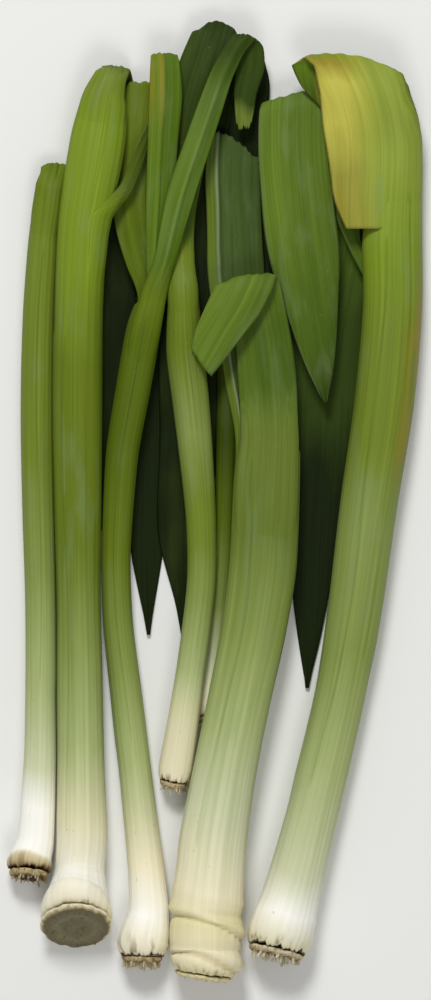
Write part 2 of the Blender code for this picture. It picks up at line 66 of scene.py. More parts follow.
# Stems, from the root end up: x, y, clearance under the stem, width and, where it isn't the width, height.
STEMS = {
    "stem_1": [
        (-41.9, -82.8, 0.0, 10.0),
        (-41.8, -81.8, -0.2, 10.4),
        (-41.3, -79.8, -0.2, 9.4),
        (-40.6, -77.4, -0.2, 8.7),
        (-40.2, -74.0, -0.2, 8.3),
        (-39.8, -67.0, -0.2, 7.9),
        (-39.4, -58.0, -0.2, 7.4),
        (-39.3, -40.0, -0.2, 6.9),
        (-39.4, -22.0, -0.2, 6.8),
        (-39.9, 0.5, -0.2, 7.1),
        (-40.1, 23.0, -0.2, 7.3),
        (-39.6, 45.5, 0.0, 7.0),
        (-38.5, 61.0, 0.8, 6.6),
        (-37.2, 71.3, 1.8, 6.0, 5.6),
    ],
    "stem_2": [
        (-31.3, -94.3, 0.1, 15.4),
        (-31.3, -92.2, -0.2, 16.0),
        (-31.0, -90.0, -0.2, 14.2),
        (-30.8, -87.0, -0.2, 12.8),
        (-30.6, -83.5, -0.2, 11.2),
        (-30.0, -76.0, -0.2, 11.2),
        (-30.1, -58.0, -0.2, 10.4),
        (-30.4, -40.0, 0.2, 10.2),
        (-30.7, -22.0, 0.4, 9.7),
        (-30.8, 0.5, 0.6, 10.4),
        (-30.9, 23.0, 1.2, 11.0),
        (-30.6, 45.5, 1.7, 11.0),
        (-29.6, 63.5, 1.8, 11.4, 11.2),
        (-27.4, 77.0, 2.4, 12.0, 9.6),
        (-26.2, 84.0, 2.7, 11.6, 8.6),
        (-25.0, 91.0, 3.0, 9.4, 7.6),
        (-23.6, 95.4, 3.3, 7.2, 6.6),
    ],
    "stem_3": [
        (-16.4, -101.9, 0.1, 10.6),
        (-16.3, -99.5, -0.2, 11.8),
        (-15.0, -93.0, -0.2, 9.6),
        (-15.3, -85.0, -0.2, 8.4),
        (-17.3, -67.0, -0.2, 7.4),
        (-19.8, -44.6, -0.2, 7.0),
        (-21.8, -26.6, 0.2, 6.6),
        (-22.2, -13.0, 1.0, 6.4),
        (-20.7, 11.7, 2.0, 7.2),
        (-18.4, 25.2, 2.3, 7.6),
        (-16.0, 38.7, 2.5, 7.6, 7.4),
        (-14.4, 45.5, 2.9, 6.6, 6.4),
    ],
    "stem_4": [
        (-9.2, -62.5, 0.1, 7.2),
        (-8.8, -60.0, 0.2, 7.8),
        (-7.3, -50.0, 3.2, 7.0),
        (-5.2, -35.6, 3.9, 6.4),
        (-3.1, -17.6, 3.4, 6.4),
        (-3.2, -5.0, 3.0, 6.6),
        (-4.5, 11.7, 2.7, 7.4),
        (-5.6, 23.0, 2.4, 8.0),
        (-6.8, 34.2, 2.4, 8.2, 8.0),
        (-7.2, 45.5, 2.6, 6.8, 7.0),
        (-7.7, 54.0, 3.2, 6.0, 5.4),
    ],
    "stem_5": [
        (-1.3, -48.0, 0.0, 5.2),
        (-1.2, -46.0, -0.2, 5.8),
        (-0.4, -36.0, -0.2, 4.8),
        (0.5, -26.6, -0.2, 4.4),
        (1.8, -10.8, -0.2, 4.4),
        (2.5, 11.7, -0.2, 4.6),
        (2.7, 27.4, -0.2, 4.6),
        (2.5, 38.7, 0.0, 4.4, 4.2),
    ],
    "stem_6": [
        (-2.5, -105.8, 0.3, 14.8),
        (-2.1, -103.0, -0.2, 16.4),
        (-2.0, -101.0, 0.2, 15.4),
        (-2.0, -98.5, -0.2, 16.6),
        (-2.0, -95.0, -0.2, 16.4),
        (-2.0, -93.2, 0.3, 15.4),
        (-1.9, -91.0, -0.1, 16.2),
        (-1.4, -86.0, 0.2, 15.6, 15.4),
        (-0.2, -76.0, 0.8, 14.8, 13.6),
        (2.5, -60.3, 2.6, 13.8, 11.4),
        (5.6, -44.6, 4.2, 13.8, 9.6),
        (8.8, -28.8, 4.7, 14.4, 8.0),
        (10.8, -15.3, 4.8, 14.8, 7.0),
        (11.9, 5.0, 4.6, 14.4, 5.4),
        (12.4, 14.0, 4.4, 13.6, 4.6),
    ],
    "stem_7": [
        (14.0, -100.4, 0.1, 13.8),
        (14.7, -97.4, -0.2, 14.8),
        (16.9, -89.5, -0.2, 13.2),
        (19.8, -78.3, -0.2, 12.0),
        (24.8, -58.1, -0.2, 11.2),
        (28.4, -42.3, -0.2, 11.0),
        (31.5, -24.3, -0.2, 11.6),
        (34.9, 0.5, -0.2, 12.4),
        (38.2, 23.0, -0.2, 13.0, 12.6),
        (40.0, 45.5, -0.2, 12.9, 12.0),
        (39.9, 61.2, -0.1, 13.0, 11.4),
        (40.7, 75.6, 0.2, 11.4, 10.6),
    ],
}

# Slope of a slanting root cut, run along Y for each unit of height, and how far up the stem it fades out.
SLANT_REACH = 16.0
SLANTED_CUTS = {"stem_2": 0.66, "stem_1": 0.25, "stem_3": 0.18, "stem_6": 0.1, "stem_7": 0.2}

# Ends of a stem. The foot rolls in by this much over this length, and is hollow to this depth.
ROLL_IN = 0.14
ROLL_REACH = 1.3
FOOT_DEPTH = 0.8
# The top narrows by this much over this length.
CLOSE_IN = 0.55
CLOSE_REACH = 3.0
# Each end is closed by rings with these shares of its width; at the top they rise by so much.
CAP_SHARES = np.array([0.97, 0.86, 0.6, 0.3])[:, None, None]
CAP_RISES = np.array([0.35, 0.8, 1.2, 1.4])[:, None, None]

# Height of a stem's fine and broad ribs, where its half width is RIB_GAUGE.
FINE_RIBS = 0.035
BROAD_RIBS = 0.08
RIB_GAUGE = 5.0

# Leaves, from the stem out: x, y, z, width, heading, pitch, keel.
# Heading turns the blade's width about Z, pitch lifts its right edge (both degrees), and keel is
# how far the middle stands out of the edges, toward the side that faces up as the leaf leaves the stem.
LEAVES = {
    "leaf_1_a": [
        (-36.9, 72.4, 4.5, 5.2, -8, 0, 0.8),
        (-36.5, 74.6, 4.1, 5.6, -6, 0, 0.3),
        (-36.2, 76.2, 2.6, 6.0, 0, 0, 0.0),
        (-36.0, 74.9, 1.0, 6.0, 6, 0, 0.0),
        (-33.4, 63.0, 0.7, 5.6, 8, 0, 0.2),
        (-32.2, 50.0, 0.7, 4.2, 6, 0, 0.2),
        (-31.6, 38.0, 0.7, 1.6, 4, 0, 0.0),
    ],
    "leaf_2_a": [
        (-23.1, 95.8, 7.0, 6.6, -14, 0, 1.0),
        (-22.6, 97.3, 6.2, 6.4, -12, 0, 0.4),
        (-22.4, 98.1, 4.4, 6.6, -6, 0, 0.0),
        (-22.4, 96.8, 2.4, 7.2, 0, 0, 0.0),
        (-22.0, 88.0, 1.4, 8.4, 2, 0, 0.2),
        (-21.6, 68.0, 0.8, 7.4, 2, 0, 0.2),
        (-21.6, 45.0, 0.7, 8.0, 0, 0, 0.2),
        (-21.6, 20.0, 0.7, 8.0, 0, 0, 0.2),
        (-22.0, 6.0, 0.6, 8.2, 0, 0, 0.1),
        (-23.0, -5.0, 0.6, 5.8, 0, 0, 0.1),
        (-23.6, -10.0, 0.6, 0.8, 0, 0, 0.0),
    ],
    "leaf_2_b": [
        (-22.3, 64.8, 8.9, 2.4, -40, 0, 0.4),
        (-20.8, 68.4, 9.1, 3.0, -42, 0, 0.5),
        (-18.6, 74.0, 8.8, 3.2, -40, 0, 0.5),
        (-16.4, 79.6, 8.0, 2.6, -36, 0, 0.3),
        (-14.4, 84.6, 6.9, 2.0, -34, 0, 0.1),
    ],
    "leaf_3_a": [
        (-15.5, 47.4, 5.6, 4.2, 6, -4, 0.6),
        (-17.0, 54.0, 5.6, 6.0, 14, -2, 0.8),
        (-19.1, 64.6, 4.9, 7.6, 9, 0, 0.8),
        (-18.8, 74.7, 4.3, 7.0, -2, 2, 0.6),
        (-18.1, 86.0, 3.9, 6.4, -6, 2, 0.5),
        (-17.2, 95.0, 3.8, 5.4, -7, 2, 0.4),
    ],
    "leaf_3_b": [
        (-13.7, 46.6, 8.2, 3.4, 3, 0, 0.6),
        (-13.1, 56.7, 9.6, 5.0, 3, 5, 1.0),
        (-12.5, 68.0, 10.3, 6.4, 1, 5, 1.3),
        (-11.7, 82.0, 10.2, 6.8, 0, 5, 1.3),
        (-11.1, 92.0, 9.6, 7.6, -1, 4, 0.9),
        (-11.2, 98.8, 8.8, 6.8, -1, 0, 0.3),
        (-11.4, 100.8, 7.0, 6.2, -1, 0, 0.0),
        (-11.5, 98.8, 4.9, 5.8, -3, 0, 0.0),
        (-11.4, 90.5, 4.0, 5.2, -3, 0, 0.2),
        (-12.2, 80.0, 3.1, 5.0, -3, 0, 0.2),
        (-13.8, 68.0, 2.2, 4.8, -3, 0, 0.2),
        (-14.6, 45.5, 0.5, 5.8, 0, 0, 0.1),
        (-14.7, 23.0, 0.4, 6.6, 0, 0, 0.1),
        (-15.4, -10.0, 0.4, 7.4, 0, 0, 0.1),
        (-15.0, -30.0, 0.7, 0.5, 0, 0, 0.0),
    ],
    "leaf_3_c": [
        (-12.6, 46.9, 10.1, 3.2, -12, 0, 0.6),
        (-10.6, 57.0, 11.7, 5.0, -12, 0, 0.8),
        (-7.6, 69.4, 12.2, 6.4, -16, 0, 1.0),
        (-4.3, 79.3, 12.0, 6.0, -18, 0, 0.9),
        (-1.0, 88.9, 11.2, 5.6, -19, 0, 0.7),
        (1.6, 96.2, 10.2, 5.2, -22, 0, 0.4),
        (5.0, 102.8, 9.3, 4.6, -24, 0, 0.0),
        (6.8, 104.9, 8.3, 5.0, -12, 0, 0.0),
        (7.9, 102.8, 7.1, 5.6, 2, 0, 0.0),
        (8.0, 98.1, 6.8, 6.2, -6, 0, -0.3),
        (6.8, 92.4, 6.8, 5.2, -12, 0, -0.3),
        (6.6, 84.6, 6.8, 3.8, 4, 0, 0.0),
    ],
    "leaf_4_a": [
        (-7.8, 54.8, 6.0, 5.8, 2, 0, 0.8),
        (-7.9, 64.6, 6.2, 7.0, -2, 0, 0.8),
        (-7.0, 75.8, 6.4, 9.4, -8, 0, 0.9),
        (-5.0, 87.1, 6.6, 11.6, -13, 0, 0.9),
        (-2.2, 97.2, 6.4, 12.4, -18, 0, 0.8),
        (0.4, 105.4, 5.8, 10.8, -18, 0, 0.3),
        (1.3, 108.0, 4.3, 9.2, -15, 0, 0.0),
        (0.9, 106.0, 2.7, 9.0, -14, 0, 0.0),
        (-0.3, 97.2, 2.3, 10.0, -14, 0, 0.0),
        (-2.8, 83.7, 2.0, 11.8, -12, 0, 0.2),
        (-5.8, 63.5, 1.5, 11.0, -6, 0, 0.2),
        (-5.9, 41.0, 1.3, 13.2, -2, 0, 0.2),
        (-6.0, 18.4, 1.3, 13.2, 0, 0, 0.2),
        (-6.9, -8.0, 1.2, 11.6, 0, 0, 0.2),
        (-6.6, -24.0, 0.8, 4.4, 0, 0, 0.1),
        (-6.4, -36.0, 0.8, 0.5, 0, 0, 0.0),
    ],
    "leaf_5_a": [
        (2.5, 39.5, 2.6, 3.8, 0, 0, 0.5),
        (6.4, 53.0, 2.2, 14.4, -5, 0, 0.4),
        (7.0, 70.2, 1.8, 12.4, -6, 0, 0.3),
        (6.9, 86.0, 1.6, 10.4, -5, 0, 0.3),
        (8.2, 95.0, 1.6, 8.4, -5, 0, 0.2),
        (9.0, 100.0, 1.6, 4.6, -4, 0, 0.0),
    ],
    "leaf_6_a": [
        (12.3, 15.1, 7.4, 12.6, 0, 0, 0.5),
        (11.9, 25.2, 7.6, 13.2, 5, 0, 0.8),
        (10.8, 36.5, 7.9, 13.0, 6, 0, 0.8),
        (9.4, 44.3, 8.5, 12.6, 8, 0, 0.4),
        (8.3, 49.6, 9.6, 12.2, 9, 0, 0.0),
        (7.8, 50.9, 11.0, 12.0, 9, 0, 0.0),
        (6.7, 48.7, 12.2, 12.2, -6, 0, 0.0),
        (4.9, 45.0, 12.5, 11.8, -22, 0, -0.4),
        (0.2, 37.2, 12.3, 9.8, -27, 0, -0.5),
        (-3.2, 31.2, 12.0, 7.6, -50, 0, -0.4),
    ],
    "leaf_6_b": [
        (8.4, 15.2, 5.4, 7.8, 5, 0, 0.3),
        (7.2, 27.4, 5.6, 10.0, 4, 0, 0.6),
        (5.6, 41.0, 5.4, 11.6, 3, 0, 0.8),
        (4.7, 52.2, 4.8, 12.6, 1, 0, 1.0),
        (4.3, 63.5, 4.5, 12.8, 0, 0, 1.2),
        (4.0, 73.0, 4.5, 12.6, 0, 0, 1.2),
        (4.3, 81.4, 4.3, 11.8, 0, 0, 0.8),
    ],
    "leaf_7_a": [
        (37.9, 61.4, 11.6, 16.8, 0, 0, 2.0),
        (36.5, 68.0, 11.8, 19.4, 0, 0, 2.0),
        (35.9, 74.7, 11.9, 20.6, 0, 0, 1.8),
        (34.9, 83.7, 12.3, 21.6, 0, 0, 1.6),
        (33.4, 92.7, 12.1, 20.2, -3, 0, 0.8),
        (31.6, 98.6, 11.0, 19.6, -5, 0, 0.0),
        (30.0, 100.3, 9.8, 20.4, -7, 0, 0.0),
        (28.0, 98.0, 8.4, 21.6, -6, 0, 0.0),
        (27.6, 93.6, 8.4, 17.6, -4, 0, 0.0),
        (29.8, 86.0, 8.3, 8.0, 0, 0, 0.0),
        (30.2, 76.0, 7.2, 1.8, 0, 0, 0.0),
    ],
    "leaf_7_b": [
        (31.4, 58.4, 4.4, 3.2, 24, 0, 0.3),
        (29.4, 68.0, 3.6, 7.0, 24, 0, 0.4),
        (24.1, 81.8, 3.6, 12.0, 23, 0, 0.3),
        (19.6, 89.6, 4.2, 14.2, 18, 0, 0.0),
        (18.0, 91.8, 5.8, 14.6, 13, 0, 0.0),
        (17.6, 89.4, 7.2, 15.0, 8, 0, 0.0),
        (17.6, 79.2, 7.3, 16.0, 5, 0, -0.8),
        (18.8, 65.7, 7.1, 16.4, 7, 0, -1.0),
        (20.6, 52.2, 6.9, 15.0, 8, 0, -0.9),
        (22.6, 38.7, 6.6, 10.4, 9, 0, -0.6),
        (23.9, 29.7, 6.4, 5.6, 9, 0, -0.3),
        (24.8, 22.5, 6.2, 0.6, 9, 0, 0.0),
    ],
    "leaf_7_c": [
        (41.8, 77.0, 3.8, 8.6, 4, 0, 0.4),
        (40.6, 86.0, 3.3, 9.4, 12, 0, 0.3),
        (38.6, 93.4, 2.9, 10.0, 12, 0, 0.0),
        (37.9, 95.4, 1.8, 10.0, -1, 0, 0.0),
        (36.7, 93.2, 0.7, 10.4, -14, 0, 0.0),
        (31.8, 79.5, 0.7, 10.8, -12, 0, 0.2),
        (28.6, 58.0, 0.7, 12.4, -7, 0, 0.2),
        (24.7, 36.0, 0.7, 17.6, -6, 0, 0.2),
        (23.4, 11.7, 0.7, 15.4, -4, 0, 0.2),
        (21.8, -14.0, 0.7, 10.6, -4, 0, 0.2),
        (21.2, -32.0, 0.7, 4.6, -2, 0, 0.1),
        (20.8, -42.0, 0.7, 0.5, 0, 0, 0.0),
    ],
}

# Rows put before a leaf's own, inside the stem that it grows from.
LEAD_INS = {
    "leaf_3_a": [(-15.7, 40.5, 6.0, 3.4, 0, 0, 0.4)],
    "leaf_3_b": [(-15.2, 40.0, 7.2, 3.0, 0, 0, 0.4)],
    "leaf_5_a": [(2.6, 34.0, 2.2, 3.2, 0, 0, 0.3)],
    "leaf_6_b": [(7.6, -14.0, 3.4, 6.6, 5, 0, 0.2), (8.0, 2.0, 3.8, 7.6, 5, 0, 0.2)],
    "leaf_7_b": [(36.4, 48.0, 5.0, 2.6, 24, 0, 0.2)],
    "leaf_7_c": [(41.6, 69.0, 4.6, 7.2, 0, 0, 0.3)],
}

# Leaves whose sheath clasps a stem: the stem, the clasp's middle and half angle (degrees from the top,
# toward +X), how far it runs down the stem, and over what length it opens into the flat blade.
CLASPS = {
    "leaf_1_a": ("stem_1", 0, 88, 16.0, 3.0),
    "leaf_2_a": ("stem_2", 0, 80, 14.0, 2.5),
    "leaf_2_b": ("stem_2", 52, 34, 20.0, 7.0),
    "leaf_3_c": ("stem_3", 12, 62, 20.0, 10.0),
    "leaf_4_a": ("stem_4", 0, 84, 16.0, 8.0),
    "leaf_6_a": ("stem_6", 0, 76, 30.0, 12.0),
}
# A clasp lies this far above the stem's skin, starts this far below it, comes up over this share of its
# length, and is tucked in at its edges.
CLASP_LIFT = 0.22
CLASP_SINK = 0.5
CLASP_RISE = 0.65
CLASP_TUCK = 0.25

# A leaf that lies on its stem as the upper part of the sheath: the stem, the Y over which its lower end
# comes up out of the stem's skin, the Y over which it lifts off the stem, how far its left side falls below
# the stem's crest, and how far round its right side the stem is clasped (degrees).
DRAPES = {"leaf_7_a": ("stem_7", (62.0, 76.0), (79.0, 93.0), 1.6, 97)}
# The shares of its left side over which such a leaf comes clear of the skin, and over which it turns into
# the flat blade; the length before it lifts off in which its colour changes; the angle (radians) that its
# left side stands for; and how far its veins lean.
DRAPE_CLEAR = (0.12, 0.42)
DRAPE_FLAT = (0.1, 0.7)
DRAPE_CHANGE = 8.0
DRAPE_TURN = 0.6
VEIN_LEAN = 8.0

# How far a torn leaf end runs in and out, and how far its right corner runs ahead of the middle.
TORN_ENDS = {
    "leaf_3_a": (0.5, 0.8),
    "leaf_3_c": (1.2, 0.0),
    "leaf_5_a": (0.8, -0.6),
    "leaf_6_a": (0.4, 0.0),
    "leaf_6_b": (1.0, -3.4),
}
# The length that this reaches, the strips where it is drawn, and the range of the finer teeth.
TEAR_REACH = 4.0
TEAR_SHARES = np.linspace(-1.0, 1.0, 5)
TEETH = (-0.5, 0.3)

# A leaf's thickness, the softness of its keel, the height of its ribs and of the pleats in its folds, and
# the bend at which the pleats are full.
LEAF_THICKNESS = 0.55
KEEL_SOFTNESS = 0.004
LEAF_RIBS = 0.03
PLEATS = 0.12
PLEAT_BEND = 0.35
# Waves: the range of their length along the edges, over 2 pi, and their slant across; and how much and how
# often the width changes.
EDGE_WAVES = (3.2, 4.6)
EDGE_SLANT = 2.4
WIDTH_CHANGE = 0.02
WIDTH_WAVE = 5.3
# How far below the upper face's fibres the lower face's lie in the grain.
UNDER_GRAIN = np.array([0.0, 3.0, 0.0])

# How far a leaf's edges wave and its face crumples.
RIPPLES = {
    "leaf_3_c": (0.22, 0.12),
    "leaf_4_a": (0.3, 0.2),
    "leaf_6_a": (0.35, 0.16),
    "leaf_6_b": (0.3, 0.16),
    "leaf_7_a": (0.5, 0.26),
    "leaf_7_b": (0.4, 0.2),
}
PLAIN_RIPPLE = (0.15, 0.1)

# How far the corners of a leaf's top fold hang behind its middle, as a share of the half width, and how far
# below the top this reaches.
FOLD_ARCHES = {"leaf_4_a": 0.5, "leaf_7_a": 0.2, "leaf_7_b": 0.04}
PLAIN_ARCH = 0.14
ARCH_REACH = 4.0

# Sheath layers that end partway round a stem: middle and half angle (degrees from the top, toward +X),
# first and last Y, and how far the layer stands out.
SHEATH_LAYERS = {
    "stem_1": [(62, 60, -46.0, 60.0, 0.18)],
    "stem_2": [(86, 72, 58.0, 93.0, 0.42), (-84, 50, -80.0, 40.0, 0.2)],
    "stem_3": [(-70, 64, -60.0, 44.0, 0.2)],
    "stem_4": [(74, 60, -40.0, 52.0, 0.2)],
    "stem_6": [(-78, 52, -84.0, 12.0, 0.3)],
    "stem_7": [(-66, 50, -70.0, 62.0, 0.28), (70, 36, -40.0, 74.0, 0.22)],
}
# Their edges wander by this angle over this length and are this soft; they start and end over these
# lengths, and the mark of painted shade on an edge is this wide (degrees and millimetres).
LAYER_WANDER = 5.0
LAYER_WAVE = 13.0
LAYER_SOFTNESS = 1.75
LAYER_START = 9.0
LAYER_END = 4.0
LAYER_MARK = 4.0

# Ring folds of loose skin near a root end: Y of the fold at the left, on top and at the right, and depth.
RING_FOLDS = {
    "stem_2": [(-88.5, -87.4, -86.0, 0.16)],
    "stem_3": [(-97.6, -96.8, -97.9, 0.14)],
    "stem_6": [(-92.9, -94.3, -98.5, 0.72), (-101.9, -102.6, -104.6, 0.74), (-89.0, -90.0, -90.6, 0.16)],
    "stem_7": [(-94.6, -93.6, -94.4, 0.14)],
}
# A fold's bulge, crease and mark of painted shade: how far each lies above the fold's line, and its width.
BULGE = (1.1, 1.0)
CREASE = (-0.25, 0.42)
CREASE_MARK = (-0.2, 0.6)
# The bulge's height as a share of the depth, and the painted-shade mark's strength for each unit of depth.
BULGE_SHARE = 0.8
MARK_SHARE = 1.6

# How far the torn skin of a root end runs in and out, and the length over which it does.
FRINGE_REACH = 2.6
FRINGES = {
    "stem_1": 0.3,
    "stem_2": 0.16,
    "stem_3": 0.4,
    "stem_4": 0.2,
    "stem_5": 0.15,
    "stem_6": 0.12,
    "stem_7": 0.5,
}

# Root plates: share of the stem's width, thickness, number of trimmed roots, root length, root radius.
ROOT_PLATES = {
    "root_plate_1": (0.86, 1.6, 24, 1.3, 0.34),
    "root_plate_2": (1.04, 1.2, 9, 0.5, 0.26),
    "root_plate_3": (0.86, 1.4, 34, 1.9, 0.36),
    "root_plate_4": (0.86, 1.3, 20, 1.7, 0.34),
    "root_plate_5": (0.84, 1.2, 14, 1.4, 0.30),
    "root_plate_6": (0.86, 1.2, 10, 0.6, 0.34),
    "root_plate_7": (0.90, 1.4, 34, 1.8, 0.42),
}
# The gap between stem and plate, and how far plates and roots keep off the floor.
ROOT_GAP = 0.35
ROOT_FLOOR = 0.12
# A root plate's profile, from its stem side to its dished face: shares of the radius and of the thickness.
PLATE_PROFILE = np.array([
    (0.30, -0.5), (0.75, -0.5), (0.94, -0.48), (1.0, -0.36), (1.0, -0.12), (0.98, 0.1), (0.94, 0.28),
    (0.88, 0.42), (0.80, 0.48), (0.70, 0.46), (0.58, 0.40), (0.46, 0.33), (0.34, 0.26), (0.22, 0.2),
    (0.10, 0.16),
])
# Roughness of the plate's rim (share) and face.
RIM_ROUGHNESS = 0.018
FACE_ROUGHNESS = 0.09
# The circles that the roots stand on in turn, as shares of the plate's radius, and the ranges within which
# roots differ: place on the circle, how far they point away from the middle, length, and girth.
ROOT_CIRCLES = (0.84, 0.66, 0.5, 0.76)
ROOT_OFFSETS = (0.94, 1.04)
ROOT_SPREADS = (0.1, 0.5)
ROOT_LENGTHS = (0.5, 1.0)
ROOT_GIRTHS = (0.7, 1.15)
# How far a root bends for its length, and how much of the plate's thickness it stands in.
ROOT_BEND = 0.16
ROOT_DEPTH = 0.35
# A root's rings: share of its length and of its radius.
ROOT_RINGS = np.array([(0.0, 1.15), (0.25, 1.0), (0.5, 0.9), (0.75, 0.8), (0.93, 0.72), (1.0, 0.5)])

# The nodes that take each slot.
SLOTS = {
    "bright_leaf": ("leaf_1_a", "leaf_2_b", "leaf_3_a", "leaf_3_b", "leaf_3_c"),
    "dark_leaf": ("leaf_2_a", "leaf_4_a", "leaf_5_a", "leaf_6_a", "leaf_6_b", "leaf_7_b", "leaf_7_c"),
    "yellow_leaf": ("leaf_7_a",),
    "brown_root": ("root_plate_1", "root_plate_3", "root_plate_4", "root_plate_5", "root_plate_7"),
    "cut_root": ("root_plate_2", "root_plate_6"),
    "pale_stem": tuple(STEMS),
}
SLOT_OF = {node: slot for slot, nodes in SLOTS.items() for node in nodes}

# Colours of the fresh plant, as screen red, green and blue.
PALETTE = {
    "white": (252, 250, 241),
    "cream": (238, 229, 196),
    "ivory": (226, 220, 182),
    "milk": (206, 209, 172),
    "sap": (166, 178, 118),
    "fresh": (132, 147, 74),
    "stem": (113, 130, 42),
    "sun": (120, 142, 36),
    "olive": (102, 119, 28),
    "moss": (88, 106, 20),
    "dusk": (56, 70, 10),
    "grass": (84, 111, 20),
    "meadow": (98, 121, 38),
    "leek": (72, 95, 24),
    "blue": (66, 86, 38),
    "deep": (50, 67, 18),
    # Painted shade: the darkest green, for leaf parts that turn back under the bunch or lie behind others.
    "shaded_green": (24, 34, 8),
    "bloom": (124, 142, 100),
    "silver": (150, 160, 126),
    "yellow": (190, 184, 80),
    "lime": (158, 168, 66),
    "straw": (176, 158, 98),
    "tan": (140, 128, 72),
    "wilted": (146, 143, 58),
    "brown": (104, 74, 42),
    "cork": (132, 106, 68),
    "bark": (74, 54, 34),
    "root": (216, 204, 168),
    "fibre": (190, 172, 128),
    "umber": (114, 107, 80),
    "flesh": (228, 218, 170),
    "dull": (102, 118, 46),
    "dun": (130, 123, 94),
    "amber": (146, 131, 42),
    "spring": (140, 156, 62),
    "soil": (46, 34, 22),
}


@dataclass
class Axis:
    """A stem's axis: points, distance run, direction, sideways and upward directions, and half sizes."""

    path: np.ndarray
    run: np.ndarray
    along: np.ndarray
    side: np.ndarray
    over: np.ndarray
    half_width: np.ndarray
    half_height: np.ndarray


@dataclass
class Skin:
    """A closed surface: points, four-sided and three-sided faces, and three values carried by each point.

    grain holds a point's place in the fibres (across, through, along, in millimetres). place holds how far
    across, how far along (0 to 1), and which side the point is on or, for a root, a chance number. sheath
    holds how far up the stem, how far the sheath has opened into a blade (0 to 1), and a mark of up to 1 at
    layer edges and creases that the finish darkens as painted shade.
    """

    points: np.ndarray
    quads: np.ndarray
    tris: np.ndarray
    grain: np.ndarray
    place: np.ndarray
    sheath: np.ndarray


def unit(vectors):
    """Vectors scaled to length 1."""
    return vectors / np.linalg.norm(vectors, axis=-1, keepdims=True)


def ease(values, low, high):
    """0 below low, 1 above high, and 3t^2 - 2t^3 between them."""
    t = np.clip((values - low) / (high - low), 0.0, 1.0)
    return t * t * (3 - 2 * t)


def run_along(path):
    """Distance run along a path at each of its points."""
    return np.concatenate([[0.0], np.cumsum(np.linalg.norm(np.diff(path, axis=0), axis=1))])


def seeded(name):
    """Random draws that are the same for a name in every run."""
    return np.random.default_rng(list(name.encode()))


def bell(values, middle, width):
    """A bell curve: 1 at the middle, and e^-1 one width away from it."""
    return np.exp(-(((values - middle) / width) ** 2))


def threes(*parts):
    """Three arrays, spread to one shape, as the three numbers of each point."""
    return np.stack(np.broadcast_arrays(*parts), axis=-1)


def carried(rows, spacing):
    """Carry a smooth curve through given rows and return its stations, at most `spacing` apart.

    Between rows a and b it is a(2t^3 - 3t^2 + 1) + p(t^3 - 2t^2 + t) + b(3t^2 - 2t^3) + q(t^3 - t^2), whose
    end slopes p and q are the neighbours' slopes, weighted to the shorter and kept no longer than it.
    """
    rows = np.array(rows, dtype=float)
    reach = np.linalg.norm(np.diff(rows[:, :3], axis=0), axis=1)[:, None]
    slope = np.diff(rows, axis=0) / reach
    before, after = reach[:-1], reach[1:]
    middle = (slope[:-1] * after + slope[1:] * before) / (before + after)
    middle = middle * np.minimum(before, after)
    pull = np.vstack([slope[:1] * reach[:1], middle, slope[-1:] * reach[-1:]])
    steps = np.maximum(np.ceil(reach[:, 0] / spacing), MIN_STEPS).astype(int)
    span = np.repeat(np.arange(len(steps)), steps)
    first = np.cumsum(steps) - steps
    t = ((np.arange(len(span)) - first[span]) / steps[span])[:, None]
    curve = (
        rows[span] * (2 * t**3 - 3 * t**2 + 1)
        + pull[span] * (t**3 - 2 * t**2 + t)
        + rows[span + 1] * (3 * t**2 - 2 * t**3)
        + pull[span + 1] * (t**3 - t**2)
    )
    return np.vstack([curve, rows[-1]])


def directions(path):
    """Unit direction of travel at each point of a path."""
    return unit(np.gradient(path, run_along(path), axis=0))


def stem_axis(name):
    """A stem's axis: its rows turned to centre and half sizes, with sideways = along x up."""
    rows = np.array([(*row[:4], row[-1]) for row in STEMS[name]], dtype=float)
    half_width, half_height = rows[:, 3] / 2, rows[:, 4] / 2
    centres = np.column_stack([rows[:, :2], rows[:, 2] + half_height, half_width, half_height])
    stations = carried(centres, STEM_STEP)
    path = stations[:, :3]
    along = directions(path)
    side = unit(np.cross(along, UP))
    return Axis(path, run_along(path), along, side, np.cross(side, along), stations[:, 3], stations[:, 4])


def ribbing(draw, counts, across, run, drift):
    """Lengthwise ribs: the sum of cos(count * across + phase + lean * run), over the root of how many."""
    counts = np.array(counts, dtype=float)[:, None, None]
    phase = draw.uniform(0.0, TURN, counts.shape)
    lean = draw.uniform(-drift, drift, counts.shape)
    return np.cos(counts * across + phase + lean * run).sum(axis=0) / math.sqrt(len(counts))


def layer_lift(name, angle, y):
    """How far sheath layers stand out, and a painted-shade mark of 1 on their edges, falling to 0 on both
    sides.

    A layer is the product of an eased step over its edge angle and eased steps at its first and last Y.
    """
    lift = np.zeros(np.broadcast(angle, y).shape)
    mark = np.zeros_like(lift)
    for middle, half, first, last, height in SHEATH_LAYERS.get(name, []):
        wander = LAYER_WANDER * np.sin(y / LAYER_WAVE + middle)
        turn = np.abs((np.degrees(angle) - middle + 180) % 360 - 180)
        inside = half + wander - turn
        span = ease(y, first, first + LAYER_START) * ease(-y, -last, LAYER_END - last)
        lift += height * ease(inside, -LAYER_SOFTNESS, LAYER_SOFTNESS) * span
        mark = np.maximum(mark, bell(inside, 0.0, LAYER_MARK) * span)
    return lift, mark


def fold_lift(name, sideways, y):
    """How far ring folds stand out, and a painted-shade mark of up to 1 on their creases.

    A fold is a bulge just above its line and a crease on it, both bell curves of the distance to the line.
    The line's Y goes through the left, top and right values as a parabola of the sideways share.
    """
    lift = np.zeros(np.broadcast(sideways, y).shape)
    mark = np.zeros_like(lift)
    for left, top, right, depth in RING_FOLDS.get(name, []):
        line = top + (right - left) / 2 * sideways + ((right + left) / 2 - top) * sideways**2
        lift += depth * (BULGE_SHARE * bell(y - line, *BULGE) - bell(y - line, *CREASE))
        mark = np.maximum(mark, min(1.0, MARK_SHARE * depth) * bell(y - line, *CREASE_MARK))
    return lift, mark


